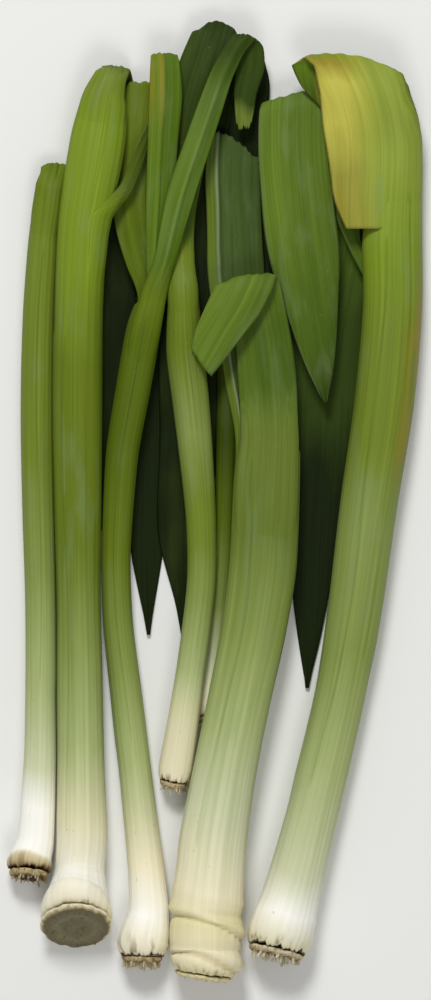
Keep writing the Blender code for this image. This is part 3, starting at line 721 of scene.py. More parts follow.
def ring_quads(count, sides):
    """Four-sided faces from each of so many rings to the next, all the way round."""
    ring, step = np.meshgrid(np.arange(count - 1) * sides, np.arange(sides), indexing="ij")
    ahead = (step + 1) % sides
    quads = [ring + step, ring + ahead, ring + sides + ahead, ring + sides + step]
    return np.stack(quads, axis=-1).reshape(-1, 4)


def closed_tube(rings, grain, place, sheath):
    """A surface from rings of points: quads from ring to ring, and a fan to a pole in each end ring."""
    count, sides = rings.shape[:2]
    last = (count - 1) * sides
    step = np.arange(sides)
    ahead = (step + 1) % sides
    tris = np.vstack([
        np.column_stack([ahead, step, np.full(sides, count * sides)]),
        np.column_stack([last + step, last + ahead, np.full(sides, count * sides + 1)]),
    ])

    def with_poles(values):
        """Values of all points, with the mean of each end ring added for its pole."""
        return np.vstack([values.reshape(-1, 3), values[0].mean(axis=0), values[-1].mean(axis=0)])

    points, *carried_values = [with_poles(values) for values in (rings, grain, place, sheath)]
    return Skin(points, ring_quads(count, sides), tris, *carried_values)


def stem_swell(name, angle, run, y, half_width):
    """How far a stem's skin stands out of its ellipse, and the painted-shade mark of its layer edges and
    creases.

    It is FINE_RIBS and BROAD_RIBS for each RIB_GAUGE of half width, and the layers and ring folds.
    """
    draw = seeded(name)
    size = half_width / RIB_GAUGE
    swell = FINE_RIBS * size * ribbing(draw, (9, 14, 19, 25, 31), angle, run, 0.012)
    swell = swell + BROAD_RIBS * size * ribbing(draw, (1, 2, 3), angle, run, 0.12)
    layers, edges = layer_lift(name, angle, y)
    folds, creases = fold_lift(name, np.sin(angle), y)
    return swell + layers + folds, np.maximum(edges, creases)


def rim(side, over, width, height, angle):
    """Points round a centre: sideways * width * sin(angle) + upward * height * cos(angle)."""
    to_side = side[:, None] * (width * np.sin(angle))[..., None]
    return to_side + over[:, None] * (height * np.cos(angle))[..., None]


def closing_rings(ring, along, rises):
    """Smaller and smaller copies of an end ring, each moved along the stem by its rise."""
    middle = ring.mean(axis=0)
    return middle + (ring - middle) * CAP_SHARES + along * rises


def stem_grain(axis, angle, run):
    """The fibres' place on a stem: mean half width times the angle's sine and cosine, and distance run."""
    size = axis.half_width.mean()
    return threes(size * np.sin(angle), size * np.cos(angle), run)


def stem_skin(name):
    """A stem: an ellipse carried along its axis, swollen by ribs, sheath layers and ring folds.

    A ring point is centre + sideways * (half width + swell) * sin(angle) + upward * (half height + swell) *
    cos(angle), with the angle from the top toward +X. The first rings roll in to a hollow foot with a torn
    fringe, and the last narrow and close. Points below the surface that the stem lies on are raised to it.
    """
    axis = stem_axis(name)
    angle = np.pi + TURN * np.arange(STEM_SIDES)[None, :] / STEM_SIDES
    run, length = axis.run[:, None], axis.run[-1]
    y = axis.path[:, 1][:, None]
    half_width, half_height = axis.half_width[:, None], axis.half_height[:, None]
    swell, mark = stem_swell(name, angle, run, y, half_width)
    roll = np.sqrt(1 - (1 - np.clip(run / ROLL_REACH, 0, 1)) ** 2 * ROLL_IN)
    narrow = roll * np.sqrt(1 - ease(run, length - CLOSE_REACH, length) ** 2 * CLOSE_IN)
    body = rim(axis.side, axis.over, (half_width + swell) * narrow, (half_height + swell) * narrow, angle)
    rings = axis.path[:, None] + body
    fade = np.clip(1 - np.abs(y - y[0]) / SLANT_REACH, 0, 1)
    rings[..., 1] += SLANTED_CUTS.get(name, 0.0) * body[..., 2] * fade
    fringe = FRINGES[name] * ribbing(seeded(name + "_fringe"), (3, 7, 13, 21, 34), angle, run, 0.1)
    rings -= axis.along[0] * (fringe * ease(-run, -FRINGE_REACH, 0.0))[..., None]
    foot = closing_rings(rings[0], axis.along[0], FOOT_DEPTH * (1 - CAP_SHARES))[::-1]
    top = closing_rings(rings[-1], axis.along[-1], CAP_RISES)
    rings = np.concatenate([foot, rings, top])
    rings[..., 2] = np.maximum(rings[..., 2], 0.0)
    run, mark = [np.pad(values, ((len(foot), len(top)), (0, 0)), mode="edge") for values in (run, mark)]
    place = threes(np.sin(angle), run / length, np.cos(angle))
    return closed_tube(rings, stem_grain(axis, angle, run), place, threes(run / length, 0.0, mark))


def torn_edge(name, across):
    """How far each strip of a torn end runs ahead: straight lines between a few draws, and finer teeth."""
    torn, slant = TORN_ENDS.get(name, (0.0, 0.0))
    draw = random.Random(name)
    tears = [torn * draw.uniform(-1.0, 1.0) + slant * share for share in TEAR_SHARES]
    teeth = seeded(name + "_teeth").uniform(*TEETH, across.shape) * torn
    return np.interp(across, TEAR_SHARES, tears) + teeth


def clasp_rows(name, across):
    """The part of a sheath that clasps its stem: middle surface, grain and sheath values.

    A point is the stem's own skin at the angle middle + across * half, lifted by an amount that grows
    up the stem from below its surface to just above it.
    """
    stem, middle, half, reach, _ = CLASPS[name]
    axis = stem_axis(stem)
    start = LEAVES[name][0][1]
    wanted = (axis.path[:, 1] < start) & (axis.path[:, 1] > start - reach)
    angle = np.radians(middle + half * across)[None, :]
    run, y = axis.run[wanted][:, None], axis.path[wanted, 1][:, None]
    half_width, half_height = axis.half_width[wanted][:, None], axis.half_height[wanted][:, None]
    swell, mark = stem_swell(stem, angle, run, y, half_width)
    rise = ease(y, start - reach, start - reach * (1 - CLASP_RISE))
    swell = swell + CLASP_LIFT * rise - CLASP_SINK * (1 - rise) - CLASP_TUCK * np.abs(across) ** 6 * rise
    ring = rim(axis.side[wanted], axis.over[wanted], half_width + swell, half_height + swell, angle)
    surface = axis.path[wanted][:, None] + ring
    return surface, stem_grain(axis, angle, run), threes(run / axis.run[-1], 0.0, mark)


def draped(name, surface, across):
    """Lay a leaf's first stretch on its stem: the new middle surface, its grain and its sheath values.

    Right of the stem's crest a point is centre + sideways * (half width + swell) * sin(angle) + upward *
    (half height + swell) * cos(angle), as on the stem. Left of it the leaf runs straight to its left edge
    and falls by fall * share^1.3. Up the leaf this eases back into the surface that came in, and the fibres
    lean to the left by lean * share^2.
    """
    stem, rise, free, fall, clasp = DRAPES[name]
    axis = stem_axis(stem)
    line = axis.path[:, 1]
    last_front = int(surface[:, len(across) // 2, 1].argmax())
    y = surface[..., 1]
    crest, middle = [np.interp(y, line, axis.path[:, way]) for way in (0, 2)]
    half_width, half_height = [np.interp(y, line, size) for size in (axis.half_width, axis.half_height)]
    run = np.interp(y, line, axis.run) + np.maximum(y - line[-1], 0.0)
    left, right = surface[:, :1, 0], surface[:, -1:, 0]
    top = 2 * (crest - left) / (right - left) - 1
    to_right = np.clip((across - top) / np.maximum(1 - top, 0.05), 0, 1)
    to_left = np.clip((top - across) / (top + 1), 0, 1)
    turned = np.radians(clasp) * to_right
    angle = turned - DRAPE_TURN * to_left
    swell, mark = stem_swell(stem, angle, run, y, half_width)
    sunk = (1 - ease(y, *rise)) * (1 - ease(to_left, *DRAPE_CLEAR))
    swell = swell + CLASP_LIFT * (1 - sunk) - CLASP_SINK * sunk
    lying = surface.copy()
    lying[..., 0] = crest + (half_width + swell) * np.sin(turned) + (left - crest) * to_left
    lying[..., 2] = middle + (half_height + swell) * np.cos(turned) - fall * to_left**1.3
    loose = ease(y, *free)
    loose[last_front:] = 1.0
    surface = lying * (1 - loose[..., None]) + surface * loose[..., None]
    opened = np.maximum(ease(y, free[0] - DRAPE_CHANGE, free[1]), ease(to_left, *DRAPE_FLAT))
    opened[last_front:] = 1.0
    lean = VEIN_LEAN * np.clip((y - free[0]) / (y.max() - free[0]), 0.0, 1.0) ** 2
    lean[last_front:] = lean[last_front - 1]
    grain = stem_grain(axis, angle, run)
    grain[..., 0] += (left - crest) * to_left + lean
    return surface, grain, threes(np.minimum(run / axis.run[-1], 1.0), opened, mark * (1 - opened))


def clasped(name, surface, grain, path, run, across):
    """Put a leaf's clasp before it, and ease its surface and values out of the clasp's last row."""
    ring, ring_grain, ring_sheath = clasp_rows(name, across)
    opened = ease(run, 0.0, CLASPS[name][4])[..., None]
    carried_ring = ring[-1] + (path - path[0])[:, None]
    surface = np.concatenate([ring, (carried_ring * (1 - opened) + surface * opened)[1:]])
    stem_end = ring_grain[-1] + UP * run[..., None]
    grain[..., 1:] += ring_grain[-1, LEAF_STRIPS // 2, 1:]
    grain = np.concatenate([ring_grain, (stem_end * (1 - opened) + grain * opened)[1:]])
    sheath = ring_sheath[-1] * (1 - opened) + np.array([0.0, 1.0, 0.0]) * opened
    sheath[..., 0] = ring_sheath[-1, 0, 0]
    return surface, grain, np.concatenate([ring_sheath, sheath[1:]])


def rippled(name, draw, across, run, bend):
    """How far a leaf stands off its section: fine ribs, waved edges, crumples, and pleats in its folds."""
    wave, crumple = RIPPLES.get(name, PLAIN_RIPPLE)
    ripple = LEAF_RIBS * ribbing(draw, (11, 17, 23, 29), across * 1.5, run, 0.01)
    edge = np.sin(run / draw.uniform(*EDGE_WAVES) + across * EDGE_SLANT)
    ripple = ripple + wave * np.abs(across) ** 3 * edge
    ripple = ripple + crumple * ribbing(draw, (1, 2, 4), across * 1.4, run, 0.22)
    pleat = PLEATS * np.clip(bend / PLEAT_BEND, 0, 1)
    return ripple + pleat * ribbing(draw, (7, 10, 13), across * 1.5, run, 0.05)


def blade_skin(name):
    """A leaf: a flat section carried along its path, closed to a thin body with fine edges.

    A point of the middle surface is centre + sideways * across * half width + normal * (keel * (0.5 -
    crease) + ripple), where crease is a softened |across|. Near the top Y falls by arch * half width *
    across^2, which rounds a fold's corners. Where the leaf clasps a stem, the stem's own rings come first
    and the blade eases out of their shape.
    """
    draw = seeded(name)
    stations = carried(LEAD_INS.get(name, []) + LEAVES[name], LEAF_STEP)
    path = stations[:, :3]
    run = run_along(path)[:, None]
    along = directions(path)
    turn, pitch = np.radians(stations[:, 4]), np.radians(stations[:, 5])
    sideways = np.column_stack([np.cos(turn) * np.cos(pitch), np.sin(turn) * np.cos(pitch), np.sin(pitch)])
    normal = unit(np.cross(sideways, along))
    across = np.linspace(-1.0, 1.0, LEAF_STRIPS + 1)
    bend = np.linalg.norm(np.gradient(along, run[:, 0], axis=0), axis=1)[:, None]
    ripple = rippled(name, draw, across, run, bend)
    wider = WIDTH_CHANGE * np.sin(run / WIDTH_WAVE + draw.uniform(0, TURN))
    half_width = stations[:, 3][:, None] / 2 * (1 + wider)
    lift = stations[:, 6][:, None] * (0.5 - np.sqrt(across**2 + KEEL_SOFTNESS)) + ripple
    surface = path[:, None] + sideways[:, None] * (half_width * across)[..., None]
    surface = surface + normal[:, None] * lift[..., None]
    highest = path[:, 1].max()
    arch = FOLD_ARCHES.get(name, PLAIN_ARCH) * ease(path[:, 1], highest - ARCH_REACH, highest)[:, None]
    surface[..., 1] -= arch * half_width * across**2
    pull = ease(run, run[-1] - TEAR_REACH, run[-1]) * torn_edge(name, across)
    surface = surface + along[:, None] * pull[..., None]
    grain = threes(half_width * across, 0.0, run)
    sheath = np.zeros_like(surface) + np.array([1.0, 1.0, 0.0])
    if name in CLASPS:
        surface, grain, sheath = clasped(name, surface, grain, path, run, across)
    if name in DRAPES:
        surface, grain, sheath = draped(name, surface, across)
    return thin_body(surface, grain, sheath, across)


def thin_body(surface, grain, sheath, across):
    """Close a middle surface into a thin body.

    The upper face runs from the left edge to the right and the lower face back, each off the middle by half
    the thickness times (1 - across^6)^(1/2); both ends are closed by faces between the two.
    """
    facing = unit(np.cross(np.gradient(surface, axis=1), np.gradient(surface, axis=0)))
    off = facing * (LEAF_THICKNESS / 2 * np.sqrt(np.clip(1 - across**6, 0.0, 1.0)))[:, None]

    def both_faces(first, second):
        """Values of the upper face, then those of the lower face without its edges, right to left."""
        return np.concatenate([first, second[:, -2:0:-1]], axis=1)

    rings = both_faces(surface + off, surface - off)
    count, sides = rings.shape[:2]
    strips = len(across) - 1
    run = run_along(surface[:, strips // 2])
    share = (run / run[-1])[:, None]
    place = both_faces(threes(across, share, 1.0), threes(across, share, -1.0))
    inner = np.arange(1, strips - 1)
    last = (count - 1) * sides
    cap = np.column_stack([inner + 1, inner, sides - inner, sides - inner - 1])
    corners = np.array([[1, 0, sides - 1], [strips, strips - 1, strips + 1]])
    quads = np.vstack([ring_quads(count, sides), cap, last + cap[:, ::-1]])
    tris = np.vstack([corners, last + corners[:, ::-1]])
    values = [both_faces(grain, grain + UNDER_GRAIN), place, both_faces(sheath, sheath)]
    return Skin(rings.reshape(-1, 3), quads, tris, *(value.reshape(-1, 3) for value in values))


def joined(skins):
    """Several skins as one."""
    starts = np.cumsum([0] + [len(skin.points) for skin in skins[:-1]])
    quads = [skin.quads + start for skin, start in zip(skins, starts)]
    tris = [skin.tris + start for skin, start in zip(skins, starts)]
    parts = ("points", "grain", "place", "sheath")
    points, *values = [np.vstack([getattr(skin, part) for skin in skins]) for part in parts]
    return Skin(points, np.vstack(quads), np.vstack(tris), *values)


def trimmed_root(draw, base, pointing, reach, radius, side, number):
    """A root: a tube along base + pointing * reach * t + bend * t^2, slimmer toward its cut end."""
    t, slim = ROOT_RINGS[:, :1], ROOT_RINGS[:, 1:]
    angle = TURN * np.arange(ROOT_SIDES)[None, :] / ROOT_SIDES
    bend = unit(draw.normal(size=3)) * reach * ROOT_BEND
    line = base + pointing * reach * t + bend * t**2
    first = unit(np.cross(pointing, UP + 0.1 * side))
    second = np.cross(first, pointing)
    thick = radius * slim * draw.uniform(*ROOT_GIRTHS)
    rings = line[:, None] + rim(second[None], first[None], thick, thick, angle)
    grain = threes(np.cos(angle) * 3 + number * 5, np.sin(angle), reach * t)
    return rings, grain, threes(0.8, t, np.full_like(angle, draw.uniform(0, 1)))


def root_plate_skin(name):
    """A root plate: a profile turned round the stem's axis, with trimmed roots standing on its face.

    A disc point is centre + radial * radius * share + outward * thickness * share, both roughened by ribs.
    """
    share, thickness, count, length, radius = ROOT_PLATES[name]
    stem = name.replace("root_plate", "stem")
    axis = stem_axis(stem)
    draw = seeded(name)
    outward = -axis.along[0]
    slope = SLANTED_CUTS.get(stem, 0.0)
    centre = axis.path[0] + outward * (ROOT_GAP + thickness / 2) * math.hypot(1, slope)
    half_width = axis.half_width[0] * share
    side, over = axis.side[0], axis.over[0]

    def leaning_tube(rings, grain, place):
        """A tube that leans with the slanting cut and keeps clear of the surface below."""
        rings[..., 1] += slope * (rings[..., 2] - axis.path[0, 2])
        rings[..., 2] = np.maximum(rings[..., 2], ROOT_FLOOR)
        return closed_tube(rings, grain, place, np.zeros_like(rings))

    angle = TURN * np.arange(PLATE_SIDES)[None, :] / PLATE_SIDES
    radial = side * np.cos(angle)[..., None] + over * np.sin(angle)[..., None]
    shares, rises = PLATE_PROFILE[:, :1], PLATE_PROFILE[:, 1:]
    rough = RIM_ROUGHNESS * ribbing(draw, (5, 9, 14, 22), angle, shares * 9, 1.0)
    reach = half_width * shares * (1 + rough)
    depth = thickness * rises + FACE_ROUGHNESS * ribbing(draw, (4, 7, 12, 17), angle, shares * 14, 1.0)
    disc = centre + radial * reach[..., None] + outward * depth[..., None]
    grain = threes(reach * np.cos(angle), reach * np.sin(angle), depth)
    skins = [leaning_tube(disc, grain, threes(np.broadcast_to(shares, reach.shape), 0.0, rises))]
    for number in range(count):
        turn = TURN * (number + draw.uniform(-0.35, 0.35)) / count
        circle = ROOT_CIRCLES[number % len(ROOT_CIRCLES)] * draw.uniform(*ROOT_OFFSETS)
        spoke = side * math.cos(turn) + over * math.sin(turn)
        spread = spoke * draw.uniform(*ROOT_SPREADS)
        spread[2] *= 0.3 if spoke[2] < 0 else 1.0
        reach = length * draw.uniform(*ROOT_LENGTHS) + thickness * ROOT_DEPTH
        base = centre + spoke * half_width * circle
        root = trimmed_root(draw, base, unit(outward + spread), reach, radius, side, number)
        skins.append(leaning_tube(*root))
    return joined(skins)


def outward_faces(skin):
    """Turn all faces round if the signed volume, the sum of a . (b x c) / 6 over the faces, is negative."""
    corners = skin.points[np.vstack([skin.quads[:, :3], skin.quads[:, [0, 2, 3]], skin.tris])]
    volume = np.einsum("ij,ij->i", corners[:, 0], np.cross(corners[:, 1], corners[:, 2])).sum() / 6
    if volume < 0:
        skin.quads = skin.quads[:, ::-1]
        skin.tris = skin.tris[:, ::-1]
    return skin


def added(name, data):
    """A new object in the scene, at the origin."""
    made = bpy.data.objects.new(name, data)
    bpy.context.scene.collection.objects.link(made)
    return made


def add_piece(name, skin, finish, node):
    """Put a skin into a mesh in metres, give it its finish, and let it stand for a node of the solids."""
    skin = outward_faces(skin)
    points = (skin.points - np.array([MID_X, MID_Y, 0.0])) * MM
    corners = np.concatenate([skin.quads.ravel(), skin.tris.ravel()])
    four = 4 * np.arange(len(skin.quads))
    three = 4 * len(skin.quads) + 3 * np.arange(len(skin.tris))
    mesh = bpy.data.meshes.new(name)
    mesh.vertices.add(len(points))
    mesh.vertices.foreach_set("co", points.astype(np.float32).ravel())
    mesh.loops.add(len(corners))
    mesh.loops.foreach_set("vertex_index", corners.astype(np.int32))
    mesh.polygons.add(len(four) + len(three))
    mesh.polygons.foreach_set("loop_start", np.concatenate([four, three]).astype(np.int32))
    mesh.update(calc_edges=True)
    mesh.validate()
    for part in ("grain", "place", "sheath"):
        attribute = mesh.attributes.new(part, "FLOAT_VECTOR", "POINT")
        attribute.data.foreach_set("vector", getattr(skin, part).astype(np.float32).ravel())
    mesh.shade_smooth()
    mesh.materials.append(finish)
    piece = added(name, mesh)
    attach(piece, "root")
    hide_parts(node)


def tint(name):
    """A palette colour as linear red, green, blue and alpha."""
    screen = np.array(PALETTE[name]) / 255
    linear = np.where(screen <= 0.04045, screen / 12.92, ((screen + 0.055) / 1.055) ** 2.4)
    return (*linear.tolist(), 1.0)


class Signal:
    """A socket of a finish, on which sums are written as Python: each operator adds a Math node."""

    def __init__(self, finish, socket):
        self.finish = finish
        self.socket = socket

    def sum(self, operation, first, second=0.0):
        """One Math node."""
        return self.finish.node("ShaderNodeMath", {"operation": operation}, {0: first, 1: second})

    def __add__(self, other):
        return self.sum("ADD", self, other)

    def __radd__(self, other):
        return self.sum("ADD", other, self)

    def __sub__(self, other):
        return self.sum("SUBTRACT", self, other)

    def __rsub__(self, other):
        return self.sum("SUBTRACT", other, self)

    def __mul__(self, other):
        return self.sum("MULTIPLY", self, other)

    def __rmul__(self, other):
        return self.sum("MULTIPLY", other, self)

    def __abs__(self):
        return self.sum("ABSOLUTE", self)

    def eased(self, low, high):
        """0 at low and 1 at high, with a smooth step between them."""
        return self.finish.node(
            "ShaderNodeMapRange",
            {"interpolation_type": "SMOOTHSTEP"},
            {"Value": self, "From Min": low, "From Max": high},
        )


class Finish:
    """A material whose nodes are added one by one."""

    def __init__(self, name, roughness, specular):
        self.material = bpy.data.materials.new(name)
        self.material.use_nodes = True
        self.tree = self.material.node_tree
        self.shader = self.tree.nodes["Principled BSDF"]
        self.shader.inputs["Roughness"].default_value = roughness
        self.shader.inputs["Specular IOR Level"].default_value = specular
        self.grain = self.node("ShaderNodeAttribute", {"attribute_name": "grain"}, out="Vector")
        place = self.node("ShaderNodeAttribute", {"attribute_name": "place"}, out="Vector")
        sheath = self.node("ShaderNodeAttribute", {"attribute_name": "sheath"}, out="Vector")
        self.across, self.along, _ = self.parts(place)
        self.stem_share, self.opened, self.edge_crease_shade = self.parts(sheath)

    def parts(self, vector):
        """The three numbers of a vector."""
        return [self.node("ShaderNodeSeparateXYZ", inputs={0: vector}, out=axis) for axis in "XYZ"]

    def put(self, socket, value):
        """Link a signal to a socket, or set a plain value on it."""
        if isinstance(value, Signal):
            self.tree.links.new(value.socket, socket)
        else:
            socket.default_value = value

    def node(self, kind, settings=None, inputs=None, out=0):
        """Add one node: its settings first, then its sockets' values or links. Returns one output."""
        made = self.tree.nodes.new(kind)
        for key, value in (settings or {}).items():
            if key == "stops":
                self.set_stops(made.color_ramp, value)
            else:
                setattr(made, key, value)
        for key, value in (inputs or {}).items():
            self.put(made.inputs[key], value)
        return Signal(self, made.outputs[out])

    @staticmethod
    def set_stops(ramp, stops):
        """Give a colour ramp its stops: place, palette colour, and how much it covers."""
        while len(ramp.elements) < len(stops):
            ramp.elements.new(1.0)
        for element, (place, colour, cover) in zip(ramp.elements, stops):
            element.position = place
            element.color = (*tint(colour)[:3], cover)

    def stretched(self, across, along):
        """The grain, scaled by one number across the fibres and another along them."""
        return self.node(
            "ShaderNodeVectorMath", {"operation": "MULTIPLY"}, {0: self.grain, 1: (across, across, along)}
        )

    def noise(self, across, along, detail=2.0):
        """Cloudy noise in the grain, with so many clouds to a millimetre across and along."""
        return self.node(
            "ShaderNodeTexNoise",
            inputs={"Vector": self.stretched(across, along), "Scale": 1.0, "Detail": detail},
        )

    def mix(self, amount, first, second, blend="MIX"):
        """Two colours mixed by an amount."""
        return self.node(
            "ShaderNodeMix",
            {"data_type": "RGBA", "blend_type": blend, "clamp_factor": True},
            {0: amount, 6: first, 7: second},
            out=2,
        )

    def ramp(self, value, stops):
        """A colour ramp over fully covering stops."""
        covering = [(place, colour, 1.0) for place, colour in stops.items()]
        return self.node("ShaderNodeValToRGB", {"stops": covering}, {0: value})

    def painted(self, colour, value, stops, amount):
        """A colour with partly covering stops laid over it, by an amount."""
        coat = self.node("ShaderNodeValToRGB", {"stops": stops}, {0: value})
        cover = Signal(self, coat.socket.node.outputs["Alpha"])
        return self.mix(cover * amount, colour, coat)

    def done(self, colour, height, depth):
        """Join colour and relief (as a height and a depth in millimetres) to the shader."""
        relief = {"Strength": 1.0, "Distance": depth * MM, "Height": height}
        bump = self.node("ShaderNodeBump", inputs=relief)
        self.put(self.shader.inputs["Base Color"], colour)
        self.put(self.shader.inputs["Normal"], bump)
        return self.material


# Colours that darken the one below them, or light it up.
SHADE = (0.50, 0.60, 0.36, 1.0)
WARM_SHADE = (0.66, 0.50, 0.26, 1.0)
LIGHT = (1.0, 1.0, 0.86, 1.0)

# Stem finishes: colours from the root end up, strength of the waxy bloom, how dark the hollow foot is
# painted as shade, how far up it is soiled, and the stretch in which the right side is stained.
STEM_LOOKS = {
    "stem_1": dict(
        hollow=0.9,
        soiled=0.015,
        along={0.0: "cork", 0.003: "fibre", 0.008: "root", 0.014: "white", 0.09: "white", 0.15: "milk",
               0.26: "sap", 0.42: "fresh", 0.60: "stem", 0.90: "stem", 1.0: "olive"},
        bloom=0.25,
    ),
    "stem_2": dict(
        soiled=0.008,
        along={0.0: "cream", 0.03: "white", 0.12: "ivory", 0.20: "sap", 0.32: "fresh", 0.44: "olive",
               0.66: "olive", 0.76: "sun", 0.93: "sun", 1.0: "stem"},
        bloom=0.35,
    ),
    "stem_3": dict(
        hollow=0.8,
        soiled=0.03,
        along={0.0: "cream", 0.05: "white", 0.14: "cream", 0.28: "sap", 0.42: "fresh", 0.60: "olive",
               0.78: "moss", 0.93: "moss", 1.0: "olive"},
        bloom=0.12,
    ),
    "stem_4": dict(
        hollow=0.6,
        along={0.0: "cream", 0.10: "ivory", 0.22: "sap", 0.34: "fresh", 0.44: "stem", 0.54: "stem",
               0.66: "fresh", 0.84: "olive", 1.0: "stem"},
        bloom=0.30,
    ),
    "stem_5": dict(
        hollow=0.6,
        along={0.0: "cream", 0.12: "milk", 0.28: "fresh", 0.48: "moss", 0.70: "dusk", 1.0: "dusk"},
        bloom=0.08,
    ),
    "stem_6": dict(
        along={0.0: "flesh", 0.03: "cream", 0.09: "flesh", 0.16: "cream", 0.28: "milk", 0.46: "sap",
               0.64: "fresh", 0.82: "dull", 1.0: "dull"},
        bloom=0.20,
    ),
    "stem_7": dict(
        hollow=0.85,
        along={0.0: "ivory", 0.04: "white", 0.10: "milk", 0.22: "sap", 0.38: "fresh", 0.54: "fresh",
               0.66: "stem", 0.78: "stem", 0.88: "sun", 1.0: "spring"},
        stained=(0.63, 0.86),
        bloom=0.30,
    ),
}


def sheath_colour(skin, look):
    """A sheath's colour and its veins: greener up the stem, with pale and dark lines along the fibres."""
    clouds = skin.noise(0.12, 0.03, detail=3.0)
    veins = skin.noise(2.0, 0.02, detail=3.0)
    bands = skin.noise(0.5, 0.01)
    green = skin.stem_share.eased(-0.1, 0.3)
    colour = skin.ramp(skin.stem_share + (clouds - 0.5) * 0.14 * green, look["along"])
    colour = skin.mix(veins.eased(0.48, 0.70) * 0.24 * green, colour, SHADE, "MULTIPLY")
    colour = skin.mix(bands.eased(0.42, 0.66) * 0.18 * green, colour, SHADE, "MULTIPLY")
    colour = skin.mix(veins.eased(0.50, 0.30) * 0.16, colour, LIGHT, "SOFT_LIGHT")
    waxy = skin.noise(0.25, 0.05, detail=4.0).eased(0.50, 0.72) * skin.stem_share.eased(0.2, 0.5)
    colour = skin.mix(waxy * look["bloom"], colour, tint("bloom"))
    # Painted shade along sheath layer edges and fold creases: warm brown low on the stem, where the creases
    # also have a brown of their own, and green higher up.
    edge_shade = skin.mix(green, WARM_SHADE, SHADE)
    colour = skin.mix(skin.edge_crease_shade.eased(0.35, 0.95) * 0.40, colour, edge_shade, "MULTIPLY")
    return colour, veins


def stem_finish(name):
    """Smooth waxy sheath, soiled at its torn root end, and stained on the right where its look says so."""
    look = STEM_LOOKS[name]
    skin = Finish("waxy_" + name, roughness=0.5, specular=0.12)
    colour, veins = sheath_colour(skin, look)
    low_end = skin.along.eased(look.get("soiled", 0.02), 0.0)
    dirt = skin.noise(0.8, 0.3, detail=5.0).eased(0.50, 0.66) * low_end
    colour = skin.mix(dirt * 0.8, colour, tint("cork"))
    # Painted shade: the foot's innermost rings are darkened toward bark, as the shade inside the hollow
    # foot.
    colour = skin.mix(skin.along.eased(0.002, 0.0) * look.get("hollow", 0.0), colour, tint("bark"))
    if "stained" in look:
        low, high = look["stained"]
        stretch = skin.along.eased(low - 0.06, low + 0.04) * skin.along.eased(high + 0.06, high - 0.04)
        stain = skin.noise(0.35, 0.06, detail=4.0).eased(0.36, 0.60) * skin.across.eased(0.30, 0.95)
        colour = skin.mix(stain * stretch * 0.8, colour, tint("amber"))
    specks = skin.noise(1.1, 0.7, detail=1.0).eased(0.75, 0.80)
    colour = skin.mix(specks * 0.35, colour, tint("tan"))
    relief = veins + skin.noise(3.2, 0.08, detail=1.0) * 0.4
    return skin.done(colour, relief, 0.03)
